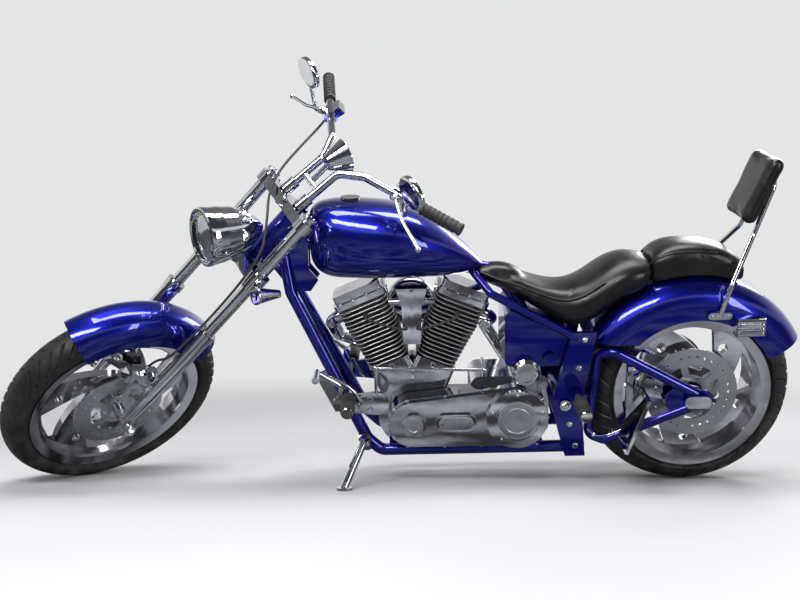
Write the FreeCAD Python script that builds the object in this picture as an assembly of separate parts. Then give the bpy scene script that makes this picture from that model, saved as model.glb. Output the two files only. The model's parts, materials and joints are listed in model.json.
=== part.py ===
import FreeCAD, Part
import math
import os

os.makedirs("parts", exist_ok=True)

# Stance. The machine is drawn upright with its steering straight, x forward from the rear axle,
# y to its left and z up from the floor, and is then leant onto its side stand.
wheelbase = 1870.0
rake_angle = 43.5
lean_angle = 17.5
lock_angle = 43.5
fork_offset = 62.0
pitch_search = 6.0
search_steps = 50

# Fits and clearances shared by several pieces
running_fit = 0.05
seat_gap = 0.3
moving_gap = 6.0
overrun = 5.0
side_play = 1.0

# Tyres and rims
front_tyre_radius = 350.0
front_tread_half = 54.0
front_crown_radius = 62.0
front_sidewall_height = 74.0
front_lip_radius = front_tyre_radius - front_sidewall_height
front_lip_half_width = 46.0
rear_tyre_radius = 332.0
rear_tread_half = 112.0
rear_crown_radius = 125.5
rear_sidewall_height = 83.0
rear_lip_radius = rear_tyre_radius - rear_sidewall_height
rear_lip_half_width = 106.0
bead_depth = 20.0
foot_rise = 4.0
tyre_tread_thickness = 14.0
tyre_wall_thickness = 9.0
front_fender_half = 76.0
lip_thickness = 7.0
rim_barrel_thickness = 8.0
web_half_thickness = 13.0
web_rear_offset = 62.0
window_count = 5
window_outer_share = 0.93
window_inner_share = 0.40
window_sweep = 38.0
window_twist = 46.0
window_hole_share = 0.76
window_hole_radius = 15.0
window_hole_turn = -16.0
hub_radius = 36.0
front_hub_half_width = 62.0
rear_hub_left = 96.0
rear_hub_right = 112.0

# Brake discs and calipers
disc_radius = 146.0
disc_inner_radius = 92.0
disc_thickness = 5.0
disc_carrier_radius = 58.0
disc_arm_width = 22.0
disc_arm_count = 5
disc_hole_radius = 4.0
disc_hole_count = 30
caliper_length = 112.0
caliper_depth = 52.0
caliper_width = 46.0
caliper_slot = 11.0
caliper_edge = 8.0
caliper_lug_half = 18.0
caliper_plate_radius = 30.0
front_caliper_angle = 122.0
rear_caliper_angle = 12.0
caliper_reach_share = 0.86

# Axles
front_axle_radius = 10.0
rear_axle_radius = 12.5
axle_head_radius = 18.0
axle_head_length = 10.0

# Fork, in its own frame: x forward, y left, z up the steering axis from the axle's level
leg_spacing = 242.0
tube_radius = 20.5
slider_radius = 28.0
slider_collar_radius = 31.0
slider_collar_height = 26.0
slider_top = 411.0
slider_foot = 38.0
slider_foot_radius = 13.0
slider_waist_radius = 24.0
slider_taper_height = 120.0
tube_top = 884.0
tube_inserted = 210.0
upper_tree_low = 846.0
upper_tree_thickness = 34.0
lower_tree_low = 622.0
lower_tree_thickness = 40.0
tree_clamp_radius = 31.0
tree_bar_half_width = 21.0
tree_boss_radius = 30.0
tree_lug_length = 20.0
tree_lug_width = 16.0
cap_height = 7.0
cap_radius = 17.0
stem_radius = 16.0
stem_nut_radius = 21.0
stem_nut_height = 12.0
centre_cap_radius = 22.0
centre_cap_height = 9.0
neck_radius = 35.0
neck_collar_radius = 39.0
neck_collar_height = 14.0

# Handlebar, riders' controls and mirrors, as forward, left and up places in the fork's frame
bar_radius = 13.0
bar_bend_radius = 36.0
bar_base_forward = 52.0
bar_base_side = 44.0
bar_rise_forward = 22.0
bar_rise_height = 1036.0
bar_sweep_forward = -12.0
bar_sweep_side = 104.0
bar_sweep_height = 1088.0
bar_tip_forward = -130.0
bar_tip_side = 402.0
bar_tip_height = 1181.0
riser_radius = 19.0
riser_height = 46.0
crossbar_radius = 9.0
grip_length = 122.0
grip_radius = 17.5
grip_ring_radius = 19.5
grip_ring_width = 7.0
grip_rib_count = 7
control_gap = 56.0
control_length = 46.0
control_radius = 22.0
reservoir_length = 44.0
reservoir_width = 30.0
reservoir_height = 26.0
reservoir_rise = 32.0
lever_radius = 5.5
lever_ball_radius = 9.0
lever_length = 146.0
lever_droop = 112.0
lever_ahead = 34.0
lever_root_drop = 12.0
lever_knee_out_share = 0.41
lever_knee_drop_share = 0.57
mirror_forward = 41.0
mirror_side = 315.0
mirror_height = 1172.0
mirror_half_length = 62.0
mirror_half_width = 44.0
mirror_depth = 16.0
mirror_round_share = 0.55
mirror_lug_ahead = 14.0
mirror_lug_out = 36.0
mirror_lug_drop = 34.0
mirror_stem_radius = 6.0
gauge_radius = 54.0
gauge_depth = 64.0
gauge_forward = 18.0
gauge_height = 1066.0
gauge_tilt = 38.0
gauge_wall = 4.0

# Headlamp and front signals
lamp_radius = 88.0
lamp_rear_forward = 72.0
lamp_rear_height = 757.0
lamp_front_forward = 226.0
lamp_front_height = 645.0
lamp_stalk_radius = 13.0
signal_radius = 27.0
signal_length = 76.0
signal_forward = 56.0
signal_side = 190.0
signal_height = 641.0
signal_stalk_radius = 8.0

# Front fender
fender_wall = 3.0
front_fender_gap = 31.0
front_fender_start_angle = 74.0
front_fender_end_angle = 156.0
front_fender_skirt = 62.0
front_fender_round_share = 0.88
fender_bracket_width = 26.0
fender_bracket_rise_share = 0.6

# Frame
down_tube_radius = 19.0
backbone_radius = 22.0
backbone_rear_x = 610.0
backbone_rear_z = 722.0
knee_setback = 610.0
down_knee_x = wheelbase - knee_setback
down_top_height = 760.0
down_knee_side = 53.0
down_knee_z = 679.0
rail_side = 104.0
rail_height = 158.0
cradle_front_x = 1034.0
cradle_front_z = 200.0
cradle_knee_x = 990.0
rail_rear_x = 372.0
plate_half_thickness = 9.0
plate_side = 132.0
plate_top_x = 352.0
plate_top_z = 556.0
plate_mid_x = 404.0
plate_mid_z = 318.0
plate_foot_x = 372.0
plate_foot_z = 158.0
plate_top_width = 74.0
plate_mid_width = 96.0
plate_foot_width = 64.0
cross_tube_radius = 20.0
tie_radius = 10.0
tie_height = 150.0
seat_post_radius = 22.0
gusset_side = 34.0
gusset_half_thickness = 4.0
gusset_high = 832.0
gusset_low = 690.0
gusset_lead = 6.0
gusset_nose_high_z = 864.0
gusset_nose_low_z = 748.0
gusset_tail_back = 22.0
gusset_tail_z = 712.0
gusset_heel_lead = 4.0
gusset_heel_z = 676.0
seat_rail_radius = 13.0
seat_rail_bend = 30.0
seat_rail_front_x = 700.0
seat_rail_front_side = 12.0
seat_rail_front_z = 738.0
seat_rail_knee_x = 640.0
seat_rail_knee_side = 88.0
seat_rail_knee_z = 672.0
seat_rail_rear_x = 376.0
seat_rail_rear_z = 536.0

# Swingarm
arm_radius = 16.5
arm_left_y = 152.0
arm_right_y = 213.0
arm_top_x = 256.0
arm_top_z = 487.0
arm_foot_x = 310.0
arm_foot_z = 184.0
arm_front_side = 103.0
pivot_x = 408.0
pivot_z = 318.0
pivot_radius = 24.0
pivot_bore_radius = 9.0
arm_plate_thickness = 12.0
arm_plate_length = 118.0
arm_plate_height = 74.0
axle_spacer_back = 2.0
axle_cover_length = 84.0
axle_cover_height = 40.0
axle_cover_thickness = 12.0

# Engine: a 45 degree twin on a round case
crank_x = 885.0
crank_z = 262.0
cylinder_angle = 22.5
barrel_start = 196.0
barrel_length = 142.0
head_length = 72.0
rocker_length = 47.0
barrel_core_radius = 58.0
fin_half_length = 80.0
fin_half_width = 78.0
fin_corner = 34.0
fin_thickness = 4.0
barrel_fin_count = 10
head_fin_count = 5
rocker_half_length = 88.0
rocker_half_width = 62.0
rocker_corner = 20.0
rocker_step = 18.0
rocker_inset = 9.0
case_radius = 112.0
case_half_width = 72.0
case_deck_half = 84.0
case_skirt = 30.0
cam_cover_radius = 96.0
cam_cover_thickness = 42.0
pushrod_radius = 10.0
pushrod_spread = 26.0
tappet_radius = 17.0
tappet_height = 40.0
tappet_out = 104.0
coil_top_half = 50.0
coil_body_half = 27.0
coil_side_front = 92.0
coil_side_rear = 50.0
coil_top_z = 694.0
coil_shoulder_z = 640.0
coil_bottom_z = 512.0
coil_rib_half = 5.0
coil_rib_rise = 7.0

# Primary drive, gearbox and starter
primary_inner_y = 76.3
primary_outer_y = 150.0
primary_front_radius = 82.0
primary_rear_radius = 101.0
clutch_x = 560.0
clutch_z = 280.0
primary_rim_depth = 12.0
primary_rim_step = 7.0
derby_radius = 96.0
derby_inner_radius = 67.0
derby_thickness = 18.0
derby_groove = 4.0
front_cap_radius = 39.0
front_cap_thickness = 12.0
inspection_length = 128.0
inspection_height = 58.0
inspection_thickness = 10.0
inspection_split = 3.0
gearbox_front_x = 700.0
gearbox_rear_x = 450.0
gearbox_low_z = 190.0
gearbox_high_z = 392.0
gearbox_half_width = 76.0
starter_x = 532.0
starter_z = 424.0
starter_radius = 44.0
starter_inner_y = -60.0
starter_outer_y = 132.0

# Intake and exhaust on the right side
air_cleaner_radius = 84.0
air_cleaner_inner_y = 132.0
air_cleaner_depth = 52.0
air_cleaner_z = 575.0
intake_radius = 24.0
pipe_radius = 22.0
muffler_radius = 38.0
pipe_reach = 240.0
muffler_side = 263.0
muffler_front_x = 420.0
muffler_rear_x = -110.0
muffler_high_rear_x = 92.0
muffler_low_z = 187.0
muffler_high_z = 271.0
pipe_wall = 3.0
pipe_bend_radius = 30.0
port_elbow_share = 1.55
front_pipe_shares = (
    (1.010, 0.450, 0.750),
    (0.690, 0.720, 0.600),
    (0.290, 0.780, 0.280),
    (-0.500, 0.860, 0.040),
)
rear_pipe_shares = (
    (-1.020, 0.520, 0.740),
    (-1.190, 0.780, 0.470),
    (-1.360, 0.900, 0.230),
    (-1.700, 0.980, 0.050),
)

# Belt drive on the right side
belt_y = 160.0
belt_width = 28.0
belt_thickness = 5.0
rear_pulley_radius = 98.0
front_pulley_radius = 48.0
pulley_flange = 4.0

# Fuel tank: a long teardrop drawn by sections from its front to its tail
tank_setback = 674.0
tank_front_x = wheelbase - tank_setback
tank_tail_x = 660.0
tank_top_z = 962.0
tank_bottom_z = 716.0
tank_half_width = 150.0
tank_section_shares = (
    (0.000, 0.800, 0.310, 0.200),
    (0.020, 0.915, 0.160, 0.430),
    (0.070, 0.975, 0.060, 0.660),
    (0.160, 1.000, 0.010, 0.860),
    (0.330, 0.985, 0.000, 0.990),
    (0.540, 0.905, 0.000, 0.960),
    (0.740, 0.680, 0.000, 0.720),
    (0.900, 0.390, 0.030, 0.420),
    (1.000, 0.150, 0.080, 0.130),
)
section_point_count = 16
tank_squareness = 2.4
tank_cap_radius = 30.0
tank_cap_height = 6.0
tank_cap_x = 1068.0
tank_cap_sink = 12.0
tunnel_gap = 4.0

# Seats, backrest and sissy bar
seat_front_x = 690.0
seat_rear_x = 146.0
seat_top_z = 782.0
seat_bottom_z = 544.0
seat_half_width = 136.0
seat_section_shares = (
    (0.000, 0.874, 0.800, 0.160),
    (0.060, 0.857, 0.700, 0.400),
    (0.150, 0.794, 0.580, 0.600),
    (0.280, 0.689, 0.400, 0.760),
    (0.430, 0.585, 0.190, 0.900),
    (0.575, 0.600, 0.020, 0.990),
    (0.730, 0.820, 0.180, 1.000),
    (0.880, 0.970, 0.420, 0.960),
    (1.000, 0.960, 0.620, 0.760),
)
pad_front_x = 142.0
pad_rear_x = -146.0
pad_top_z = 809.0
pad_bottom_z = 676.0
pad_half_width = 98.0
pad_section_shares = (
    (0.000, 0.720, 0.020, 0.820),
    (0.080, 0.860, 0.000, 0.940),
    (0.500, 1.000, 0.000, 1.000),
    (0.880, 0.780, 0.000, 0.960),
    (1.000, 0.560, 0.060, 0.840),
)
back_low_x = -136.0
back_low_z = 874.0
back_high_x = -224.0
back_high_z = 1078.0
back_half_width = 106.0
back_thickness = 50.0
back_corner = 24.0
sissy_radius = 8.0
sissy_side = 152.0
sissy_foot_x = -56.0
sissy_foot_z = 606.0
sissy_knee_x = -84.0
sissy_knee_z = 704.0
sissy_foot_length = 76.0
sissy_foot_height = 22.0
sissy_foot_thickness = 7.0

# Rear fender
rear_fender_gap = 46.0
rear_fender_half_width = 140.0
rear_fender_start_angle = 28.0
rear_fender_end_angle = 151.0
rear_fender_skirt = 255.0
rear_fender_corner = 84.0

# Oil tank, regulator and small bodywork
oil_front_x = 596.0
oil_rear_x = 400.0
oil_low_z = 436.0
oil_front_top_z = 628.0
oil_rear_top_z = 560.0
oil_half_width = 108.0
oil_corner = 22.0
regulator_height = 118.0
regulator_width = 96.0
regulator_depth = 46.0
regulator_fin_count = 7
regulator_fin_depth = 16.0
regulator_z = 346.0

# Forward controls, pegs and shift linkage
control_side = 150.0
control_plate_thickness = 12.0
control_stay_radius = 14.0
control_front_x = 1112.0
control_rear_x = 1000.0
control_mid_z = 340.0
control_plate_height = 76.0
peg_x = 1086.0
peg_z = 364.0
peg_inner_y = 164.0
peg_length = 112.0
peg_radius = 19.0
peg_rib_count = 8
peg_rib_rise = 2.5
peg_cap_radius = 16.0
peg_cap_length = 9.0
pedal_pivot_x = 1104.0
pedal_pivot_z = 402.0
toe_x = 1180.0
toe_z = 458.0
toe_inner_y = 178.0
toe_length = 70.0
toe_radius = 11.0
lever_arm_radius = 8.0
shift_rod_radius = 5.0
shift_rod_y = 168.0
shift_arm_side = 60.0
shift_rod_front_x = 1000.0
shift_rod_front_z = 464.0
shift_rod_rear_x = 665.0
shift_rod_rear_z = 451.0
rear_peg_x = 338.0
rear_peg_z = 343.0
rear_peg_inner_y = 141.3
rear_peg_length = 108.0
rear_peg_arm_length = 40.0
rear_peg_arm_radius = 10.0

# Marker lamps and the side plate holder
marker_x = -146.0
marker_z = 574.0
marker_length = 88.0
marker_height = 56.0
marker_depth = 46.0
marker_slat_count = 3
marker_slat_gap = 6.0
plate_holder_x = 214.0
plate_holder_z = 304.0
plate_holder_height = 176.0
plate_holder_width = 112.0
plate_holder_inner_y = 176.0
plate_holder_thickness = 9.0
plate_tilt = 20.0
plate_board_thickness = 2.0

# Brake line on the fork and the two plug leads
line_radius = 4.0
line_bend = 24.0
line_start_in = 12.0
line_route_rows = (
    (-44.0, -204.0, 1062.0),
    (28.0, -140.0, 1000.0),
    (86.0, -84.0, 914.0),
    (102.0, -40.0, 850.0),
    (104.0, 40.0, 790.0),
    (100.0, 121.0, 700.0),
    (100.0, 121.0, 280.0),
    (96.0, 64.0, 222.0),
)
line_end_gap = 1.0
lead_radius = 4.0
lead_bend = 16.0
lead_side = 124.0
lead_offset = 16.0
lead_coil_z = 566.0
lead_boot_radius = 8.0
lead_boot_length = 24.0

# Side stand
stand_pivot_x = 1040.0
stand_pivot_y = 146.0
stand_pivot_z = 214.0
stand_foot_x = 1104.0
stand_foot_y = 263.0
stand_leg_radius = 12.0
stand_hub_radius = 19.0
stand_hub_half_length = 15.0
stand_pin_radius = 8.0
stand_foot_radius = 24.0
stand_foot_thickness = 8.0
stand_swing_share = 0.32
stand_sink_share = 0.2
stand_spring_radius = 7.0
stand_spring_share = 0.62
stand_spring_lift_share = 0.6
stand_tab_radius = 5.5

V = FreeCAD.Vector
X_AXIS = V(1, 0, 0)
Y_AXIS = V(0, 1, 0)
Z_AXIS = V(0, 0, 1)
ORIGIN = V(0, 0, 0)


# Shapes

def rod(start, end, radius):
    run = end - start
    return Part.makeCylinder(radius, run.Length, start, run)


def cone(start, end, start_radius, end_radius):
    run = end - start
    return Part.makeCone(start_radius, end_radius, run.Length, start, run)


def ball(centre, radius):
    return Part.makeSphere(radius, centre)


def block(low, high):
    size = high - low
    return Part.makeBox(size.x, size.y, size.z, low)


def joined(shapes):
    return shapes[0].multiFuse(shapes[1:]).removeSplitter() if len(shapes) > 1 else shapes[0]


def bent_path(points, bend_radius):
    edges = []
    last = points[0]
    for index in range(1, len(points) - 1):
        corner = points[index]
        before = (points[index - 1] - corner).normalize()
        after = (points[index + 1] - corner).normalize()
        half_turn = (math.pi - before.getAngle(after)) / 2
        setback = bend_radius * math.tan(half_turn)
        first = corner + before * setback
        second = corner + after * setback
        centre = corner + (before + after).normalize() * (bend_radius / math.cos(half_turn))
        middle = centre + (corner - centre).normalize() * bend_radius
        edges.append(Part.LineSegment(last, first).toShape())
        edges.append(Part.Arc(first, middle, second).toShape())
        last = second
    edges.append(Part.LineSegment(last, points[-1]).toShape())
    return Part.Wire(edges)


def bent_tube(points, radius, bend_radius):
    start = points[0]
    ring = Part.Wire(Part.Circle(start, points[1] - start, radius).toShape())
    return bent_path(points, bend_radius).makePipeShell([ring], True, False)


def side_outline(points, y_low, y_high):
    corners = [V(x, y_low, z) for x, z in points]
    face = Part.Face(Part.makePolygon(corners + corners[:1]))
    return face.extrude(V(0, y_high - y_low, 0))


def side_hull(first, first_radius, second, second_radius, y_low, y_high):
    """Two circles and the straight sides that touch both, seen from the side."""
    gap = math.hypot(second[0] - first[0], second[1] - first[1])
    along = math.atan2(second[1] - first[1], second[0] - first[0])
    spread = math.acos((first_radius - second_radius) / gap)
    points = []
    for centre, radius in ((first, first_radius), (second, second_radius)):
        for turn in (along + spread, along - spread):
            points.append((centre[0] + radius * math.cos(turn), centre[1] + radius * math.sin(turn)))
    web = side_outline([points[0], points[2], points[3], points[1]], y_low, y_high)
    discs = [rod(V(c[0], y_low, c[1]), V(c[0], y_high, c[1]), r)
             for c, r in ((first, first_radius), (second, second_radius))]
    return joined([web] + discs)


def turned(profile, turn=360.0):
    """Revolves (radius, y) points about the wheel's axis."""
    corners = [V(radius, y, 0) for radius, y in profile]
    face = Part.Face(Part.makePolygon(corners + corners[:1]))
    return face.revolve(ORIGIN, Y_AXIS, turn)


def rounded_section(x, low_z, high_z, half_width, squareness, count):
    """A closed smooth section across the machine."""
    middle = (low_z + high_z) / 2
    half_height = (high_z - low_z) / 2
    points = []
    for step in range(count):
        turn = 2 * math.pi * step / count
        side = math.copysign(abs(math.cos(turn)) ** (2 / squareness), math.cos(turn))
        rise = math.copysign(abs(math.sin(turn)) ** (2 / squareness), math.sin(turn))
        points.append(V(x, half_width * side, middle + half_height * rise))
    curve = Part.BSplineCurve()
    curve.interpolate(points, PeriodicFlag=True)
    return Part.Wire(curve.toShape())


def lofted(front_x, rear_x, low_z, high_z, half_width, shares, squareness):
    sections = []
    for along, top, bottom, width in shares:
        x = front_x + (rear_x - front_x) * along
        sections.append(rounded_section(x, low_z + (high_z - low_z) * bottom,
                                        low_z + (high_z - low_z) * top,
                                        half_width * width, squareness, section_point_count))
    return Part.makeLoft(sections, True, False)


def mirrored(shape):
    return shape.mirror(ORIGIN, Y_AXIS)


def around(shape, count, step_angle):
    copies = []
    for index in range(count):
        copy = shape.copy()
        copy.rotate(ORIGIN, Y_AXIS, step_angle * index)
        copies.append(copy)
    return copies


# Stance

rake = math.radians(rake_angle)
head_forward = V(math.cos(rake), 0, math.sin(rake))
head_up = V(-math.sin(rake), 0, math.cos(rake))
front_axle_point = V(wheelbase, 0, front_tyre_radius)
fork_origin = front_axle_point - head_forward * fork_offset
to_fork = FreeCAD.Placement(fork_origin, FreeCAD.Rotation(Y_AXIS, -rake_angle))
to_lock = FreeCAD.Placement(ORIGIN, FreeCAD.Rotation(Z_AXIS, lock_angle))
steered = to_fork.multiply(to_lock)
front_wheel_place = steered.multiply(FreeCAD.Placement(V(fork_offset, 0, 0), FreeCAD.Rotation()))
rear_wheel_place = FreeCAD.Placement(V(0, 0, rear_tyre_radius), FreeCAD.Rotation())


def stance(pitch):
    lean = FreeCAD.Rotation(X_AXIS, -lean_angle)
    return FreeCAD.Placement(ORIGIN, FreeCAD.Rotation(Y_AXIS, pitch).multiply(lean))


def tyre_low_point(place, tyre_radius, crown_radius):
    centre = place.multVec(ORIGIN)
    across = place.Rotation.multVec(Y_AXIS)
    return centre.z - (tyre_radius - crown_radius) * math.sqrt(1 - across.z ** 2) - crown_radius


def axle_drop(pitch):
    tilt = stance(pitch)
    front = tyre_low_point(tilt.multiply(front_wheel_place), front_tyre_radius, front_crown_radius)
    rear = tyre_low_point(tilt.multiply(rear_wheel_place), rear_tyre_radius, rear_crown_radius)
    return front - rear


def parked_pitch():
    low, high = -pitch_search, pitch_search
    for step in range(search_steps):
        middle = (low + high) / 2
        if axle_drop(middle) > 0:
            low = middle
        else:
            high = middle
    return (low + high) / 2


pitch_angle = parked_pitch()
leaning = stance(pitch_angle)
rise = -tyre_low_point(leaning.multiply(rear_wheel_place), rear_tyre_radius, rear_crown_radius)
parked = FreeCAD.Placement(V(0, 0, rise), leaning.Rotation)
floor_up = parked.inverse().Rotation.multVec(Z_AXIS)


# Wheels

def crown_point(tyre_radius, crown_radius, turn):
    return (tyre_radius - crown_radius + crown_radius * math.cos(turn), crown_radius * math.sin(turn))


def tyre(tyre_radius, tread_half, crown_radius, lip_radius, lip_half_width):
    """A tyre's section is the crown's arc, a flank that leaves it smoothly and the hollow inside."""
    turn = math.asin(tread_half / crown_radius)
    bead_y = lip_half_width - lip_thickness - seat_gap
    bead = lip_radius - bead_depth
    foot = V(lip_radius + foot_rise, bead_y, 0)
    inner_y = bead_y - tyre_wall_thickness
    start = V(*crown_point(tyre_radius, crown_radius, turn), 0)
    crown = V(*crown_point(tyre_radius, crown_radius, 0), 0)
    normal = V(-math.cos(turn), -math.sin(turn), 0)
    chord = foot - start
    flank_radius = chord.dot(chord) / (2 * chord.dot(normal))
    centre = start + normal * flank_radius
    middle = centre + ((start + foot) * 0.5 - centre).normalize() * flank_radius
    flip = lambda point: V(point.x, -point.y, 0)
    corners = [foot, V(bead, bead_y, 0), V(bead, inner_y, 0), V(lip_radius, inner_y, 0)]
    edges = [
        Part.Arc(start, crown, flip(start)).toShape(),
        Part.Arc(flip(start), flip(middle), flip(foot)).toShape(),
        Part.Arc(corners[3], V(tyre_radius - tyre_tread_thickness, 0, 0), flip(corners[3])).toShape(),
        Part.Arc(foot, middle, start).toShape(),
    ]
    for index in range(3):
        edges.append(Part.LineSegment(corners[index], corners[index + 1]).toShape())
        edges.append(Part.LineSegment(flip(corners[index]), flip(corners[index + 1])).toShape())
    face = Part.Face(Part.Wire(Part.__sortEdges__(edges)))
    return face.revolve(ORIGIN, Y_AXIS, 360)


def window(outer_radius, inner_radius, half_width):
    """One swept opening between two blades of the wheel."""
    def polar(radius, turn):
        angle = math.radians(turn)
        return V(radius * math.cos(angle), -half_width, radius * math.sin(angle))
    middle_radius = (outer_radius + inner_radius) / 2
    start = polar(outer_radius, 0)
    end = polar(outer_radius, window_sweep)
    tip = polar(inner_radius, window_twist + window_sweep)
    edges = [
        Part.Arc(start, polar(outer_radius, window_sweep / 2), end).toShape(),
        Part.Arc(end, polar(middle_radius, window_sweep + window_twist * 0.25), tip).toShape(),
        Part.Arc(tip, polar(middle_radius, window_twist * 0.42), start).toShape(),
    ]
    return Part.Face(Part.Wire(edges)).extrude(V(0, half_width * 2, 0))


def rim(lip_radius, lip_half_width, web_y, hub_low, hub_high, bore_radius):
    """A polished wheel: deep lips, a barrel and a web of swept blades round a plain hub."""
    bead = lip_radius - bead_depth
    barrel = bead - seat_gap
    inner = barrel - rim_barrel_thickness
    flange = lip_half_width - lip_thickness
    section = [(inner, -flange), (lip_radius, -lip_half_width), (lip_radius, -flange),
               (barrel, -flange), (barrel, flange), (lip_radius, flange),
               (lip_radius, lip_half_width), (inner, flange)]
    barrel_ring = turned(section)
    web = rod(V(0, web_y - web_half_thickness, 0), V(0, web_y + web_half_thickness, 0),
              (barrel + inner) / 2)
    reach = web_half_thickness + overrun
    opening = window(inner * window_outer_share, inner * window_inner_share, reach)
    hole_turn = math.radians(window_hole_turn)
    hole_x = inner * window_hole_share * math.cos(hole_turn)
    hole_z = inner * window_hole_share * math.sin(hole_turn)
    hole = rod(V(hole_x, -reach, hole_z), V(hole_x, reach, hole_z), window_hole_radius)
    cuts = around(opening, window_count, 360 / window_count)
    cuts += around(hole, window_count, 360 / window_count)
    tool = Part.makeCompound(cuts)
    tool.translate(V(0, web_y, 0))
    web = web.cut(tool)
    hub = rod(V(0, hub_low, 0), V(0, hub_high, 0), hub_radius)
    bore = rod(V(0, hub_low - overrun, 0), V(0, hub_high + overrun, 0), bore_radius)
    return joined([barrel_ring, web, hub]).cut(bore)


def brake_disc(y):
    ring = turned([(disc_inner_radius, y), (disc_radius, y),
                   (disc_radius, y + disc_thickness), (disc_inner_radius, y + disc_thickness)])
    row = disc_inner_radius + (disc_radius - disc_inner_radius) / 2
    hole = rod(V(row, y - overrun, 0), V(row, y + disc_thickness + overrun, 0), disc_hole_radius)
    ring = ring.cut(Part.makeCompound(around(hole, disc_hole_count, 360 / disc_hole_count)))
    carrier = turned([(hub_radius + seat_gap, y), (disc_carrier_radius, y),
                      (disc_carrier_radius, y + disc_thickness),
                      (hub_radius + seat_gap, y + disc_thickness)])
    half = disc_arm_width / 2
    arm = block(V(disc_carrier_radius - half, y, -half),
                V(disc_inner_radius + half, y + disc_thickness, half))
    return joined([ring, carrier] + around(arm, disc_arm_count, 360 / disc_arm_count))


def caliper(disc_y, angle):
    """A four-pot block that straddles the disc's edge, drawn about the axle."""
    middle = disc_y + disc_thickness / 2
    reach = disc_radius * caliper_reach_share
    half = caliper_length / 2
    body = block(V(reach, middle - caliper_width / 2, -half),
                 V(reach + caliper_depth, middle + caliper_width / 2, half))
    body = body.makeChamfer(caliper_edge, body.Edges)
    slot = turned([(0.0, middle - caliper_slot / 2),
                   (disc_radius + moving_gap, middle - caliper_slot / 2),
                   (disc_radius + moving_gap, middle + caliper_slot / 2),
                   (0.0, middle + caliper_slot / 2)])
    body = body.cut(slot)
    body.rotate(ORIGIN, Y_AXIS, -angle)
    return body


# Fork and steering

def fork_leg_axis(side, height):
    return V(fork_offset, side * leg_spacing / 2, height)


def slider_blank(side, grow=0.0):
    """A slider's outside, tapered at its foot and collared at its top."""
    profile = [(0.0, -slider_foot), (slider_foot_radius + grow, -slider_foot),
               (slider_waist_radius + grow, slider_taper_height),
               (slider_radius + grow, slider_top - slider_collar_height),
               (slider_collar_radius + grow, slider_top - slider_collar_height),
               (slider_collar_radius + grow, slider_top), (0.0, slider_top)]
    corners = [V(radius, 0, height) for radius, height in profile]
    body = Part.Face(Part.makePolygon(corners + corners[:1])).revolve(ORIGIN, Z_AXIS, 360)
    body.translate(fork_leg_axis(side, 0))
    return body


def slider(side):
    body = slider_blank(side)
    bore = rod(fork_leg_axis(side, slider_top - tube_inserted), fork_leg_axis(side, slider_top + overrun),
               tube_radius + running_fit)
    return body.cut(bore).cut(front_axle_rod(running_fit))


def front_axle_rod(extra=0.0):
    half = leg_spacing / 2 + slider_radius + extra
    return rod(V(fork_offset, -half, 0), V(fork_offset, half, 0), front_axle_radius + extra)


def front_axle():
    half = leg_spacing / 2 + slider_radius
    heads = [rod(V(fork_offset, side * half, 0), V(fork_offset, side * (half + axle_head_length), 0),
                 axle_head_radius) for side in (-1, 1)]
    spacers = [rod(V(fork_offset, side * (front_hub_half_width + side_play), 0),
                   V(fork_offset, side * (leg_spacing / 2 - slider_radius), 0),
                   axle_head_radius) for side in (-1, 1)]
    return joined([front_axle_rod()] + heads + spacers)


def fork_tube(side):
    low = slider_top - tube_inserted
    tube = rod(fork_leg_axis(side, low), fork_leg_axis(side, tube_top), tube_radius)
    cap = rod(fork_leg_axis(side, tube_top), fork_leg_axis(side, tube_top + cap_height), cap_radius)
    return joined([tube, cap])


def tree(low, thickness):
    """A clamp for each leg, a bar between them and a boss round the stem."""
    high = low + thickness
    half = leg_spacing / 2
    bar = block(V(fork_offset - tree_bar_half_width, -half, low),
                V(fork_offset + tree_bar_half_width, half, high))
    pieces = [bar, rod(V(0, 0, low), V(0, 0, high), tree_boss_radius)]
    web = block(V(0, -tree_boss_radius, low), V(fork_offset, tree_boss_radius, high))
    pieces.append(web)
    for side in (-1, 1):
        pieces.append(rod(fork_leg_axis(side, low), fork_leg_axis(side, high), tree_clamp_radius))
        lug_x = fork_offset - tree_clamp_radius - tree_lug_length / 2
        pieces.append(block(V(lug_x, side * half - tree_lug_width / 2, low),
                            V(fork_offset, side * half + tree_lug_width / 2, high)))
    body = joined(pieces)
    bores = [rod(fork_leg_axis(side, low - overrun), fork_leg_axis(side, high + overrun),
                 tube_radius + running_fit) for side in (-1, 1)]
    return body.cut(Part.makeCompound(bores))


def steering_stem():
    low = lower_tree_low
    high = upper_tree_low + upper_tree_thickness
    stem = rod(V(0, 0, low), V(0, 0, high), stem_radius)
    nut = rod(V(0, 0, high), V(0, 0, high + stem_nut_height), stem_nut_radius)
    return joined([stem, nut])


def upper_tree():
    body = tree(upper_tree_low, upper_tree_thickness)
    front = fork_offset + tree_bar_half_width
    middle = upper_tree_low + upper_tree_thickness / 2
    cap = rod(V(front, 0, middle), V(front + centre_cap_height, 0, middle),
              min(centre_cap_radius, upper_tree_thickness / 2))
    hole = rod(V(0, 0, upper_tree_low - overrun),
               V(0, 0, upper_tree_low + upper_tree_thickness + overrun), stem_radius)
    return joined([body, cap]).cut(hole)


def lower_tree():
    hole = rod(V(0, 0, lower_tree_low - overrun),
               V(0, 0, lower_tree_low + lower_tree_thickness + overrun), stem_radius)
    return tree(lower_tree_low, lower_tree_thickness).cut(hole)


def bar_route(side):
    top = upper_tree_low + upper_tree_thickness
    return [V(bar_base_forward, side * bar_base_side, top),
            V(bar_rise_forward, side * bar_base_side, bar_rise_height),
            V(bar_sweep_forward, side * bar_sweep_side, bar_sweep_height),
            V(bar_tip_forward, side * bar_tip_side, bar_tip_height)]


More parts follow.
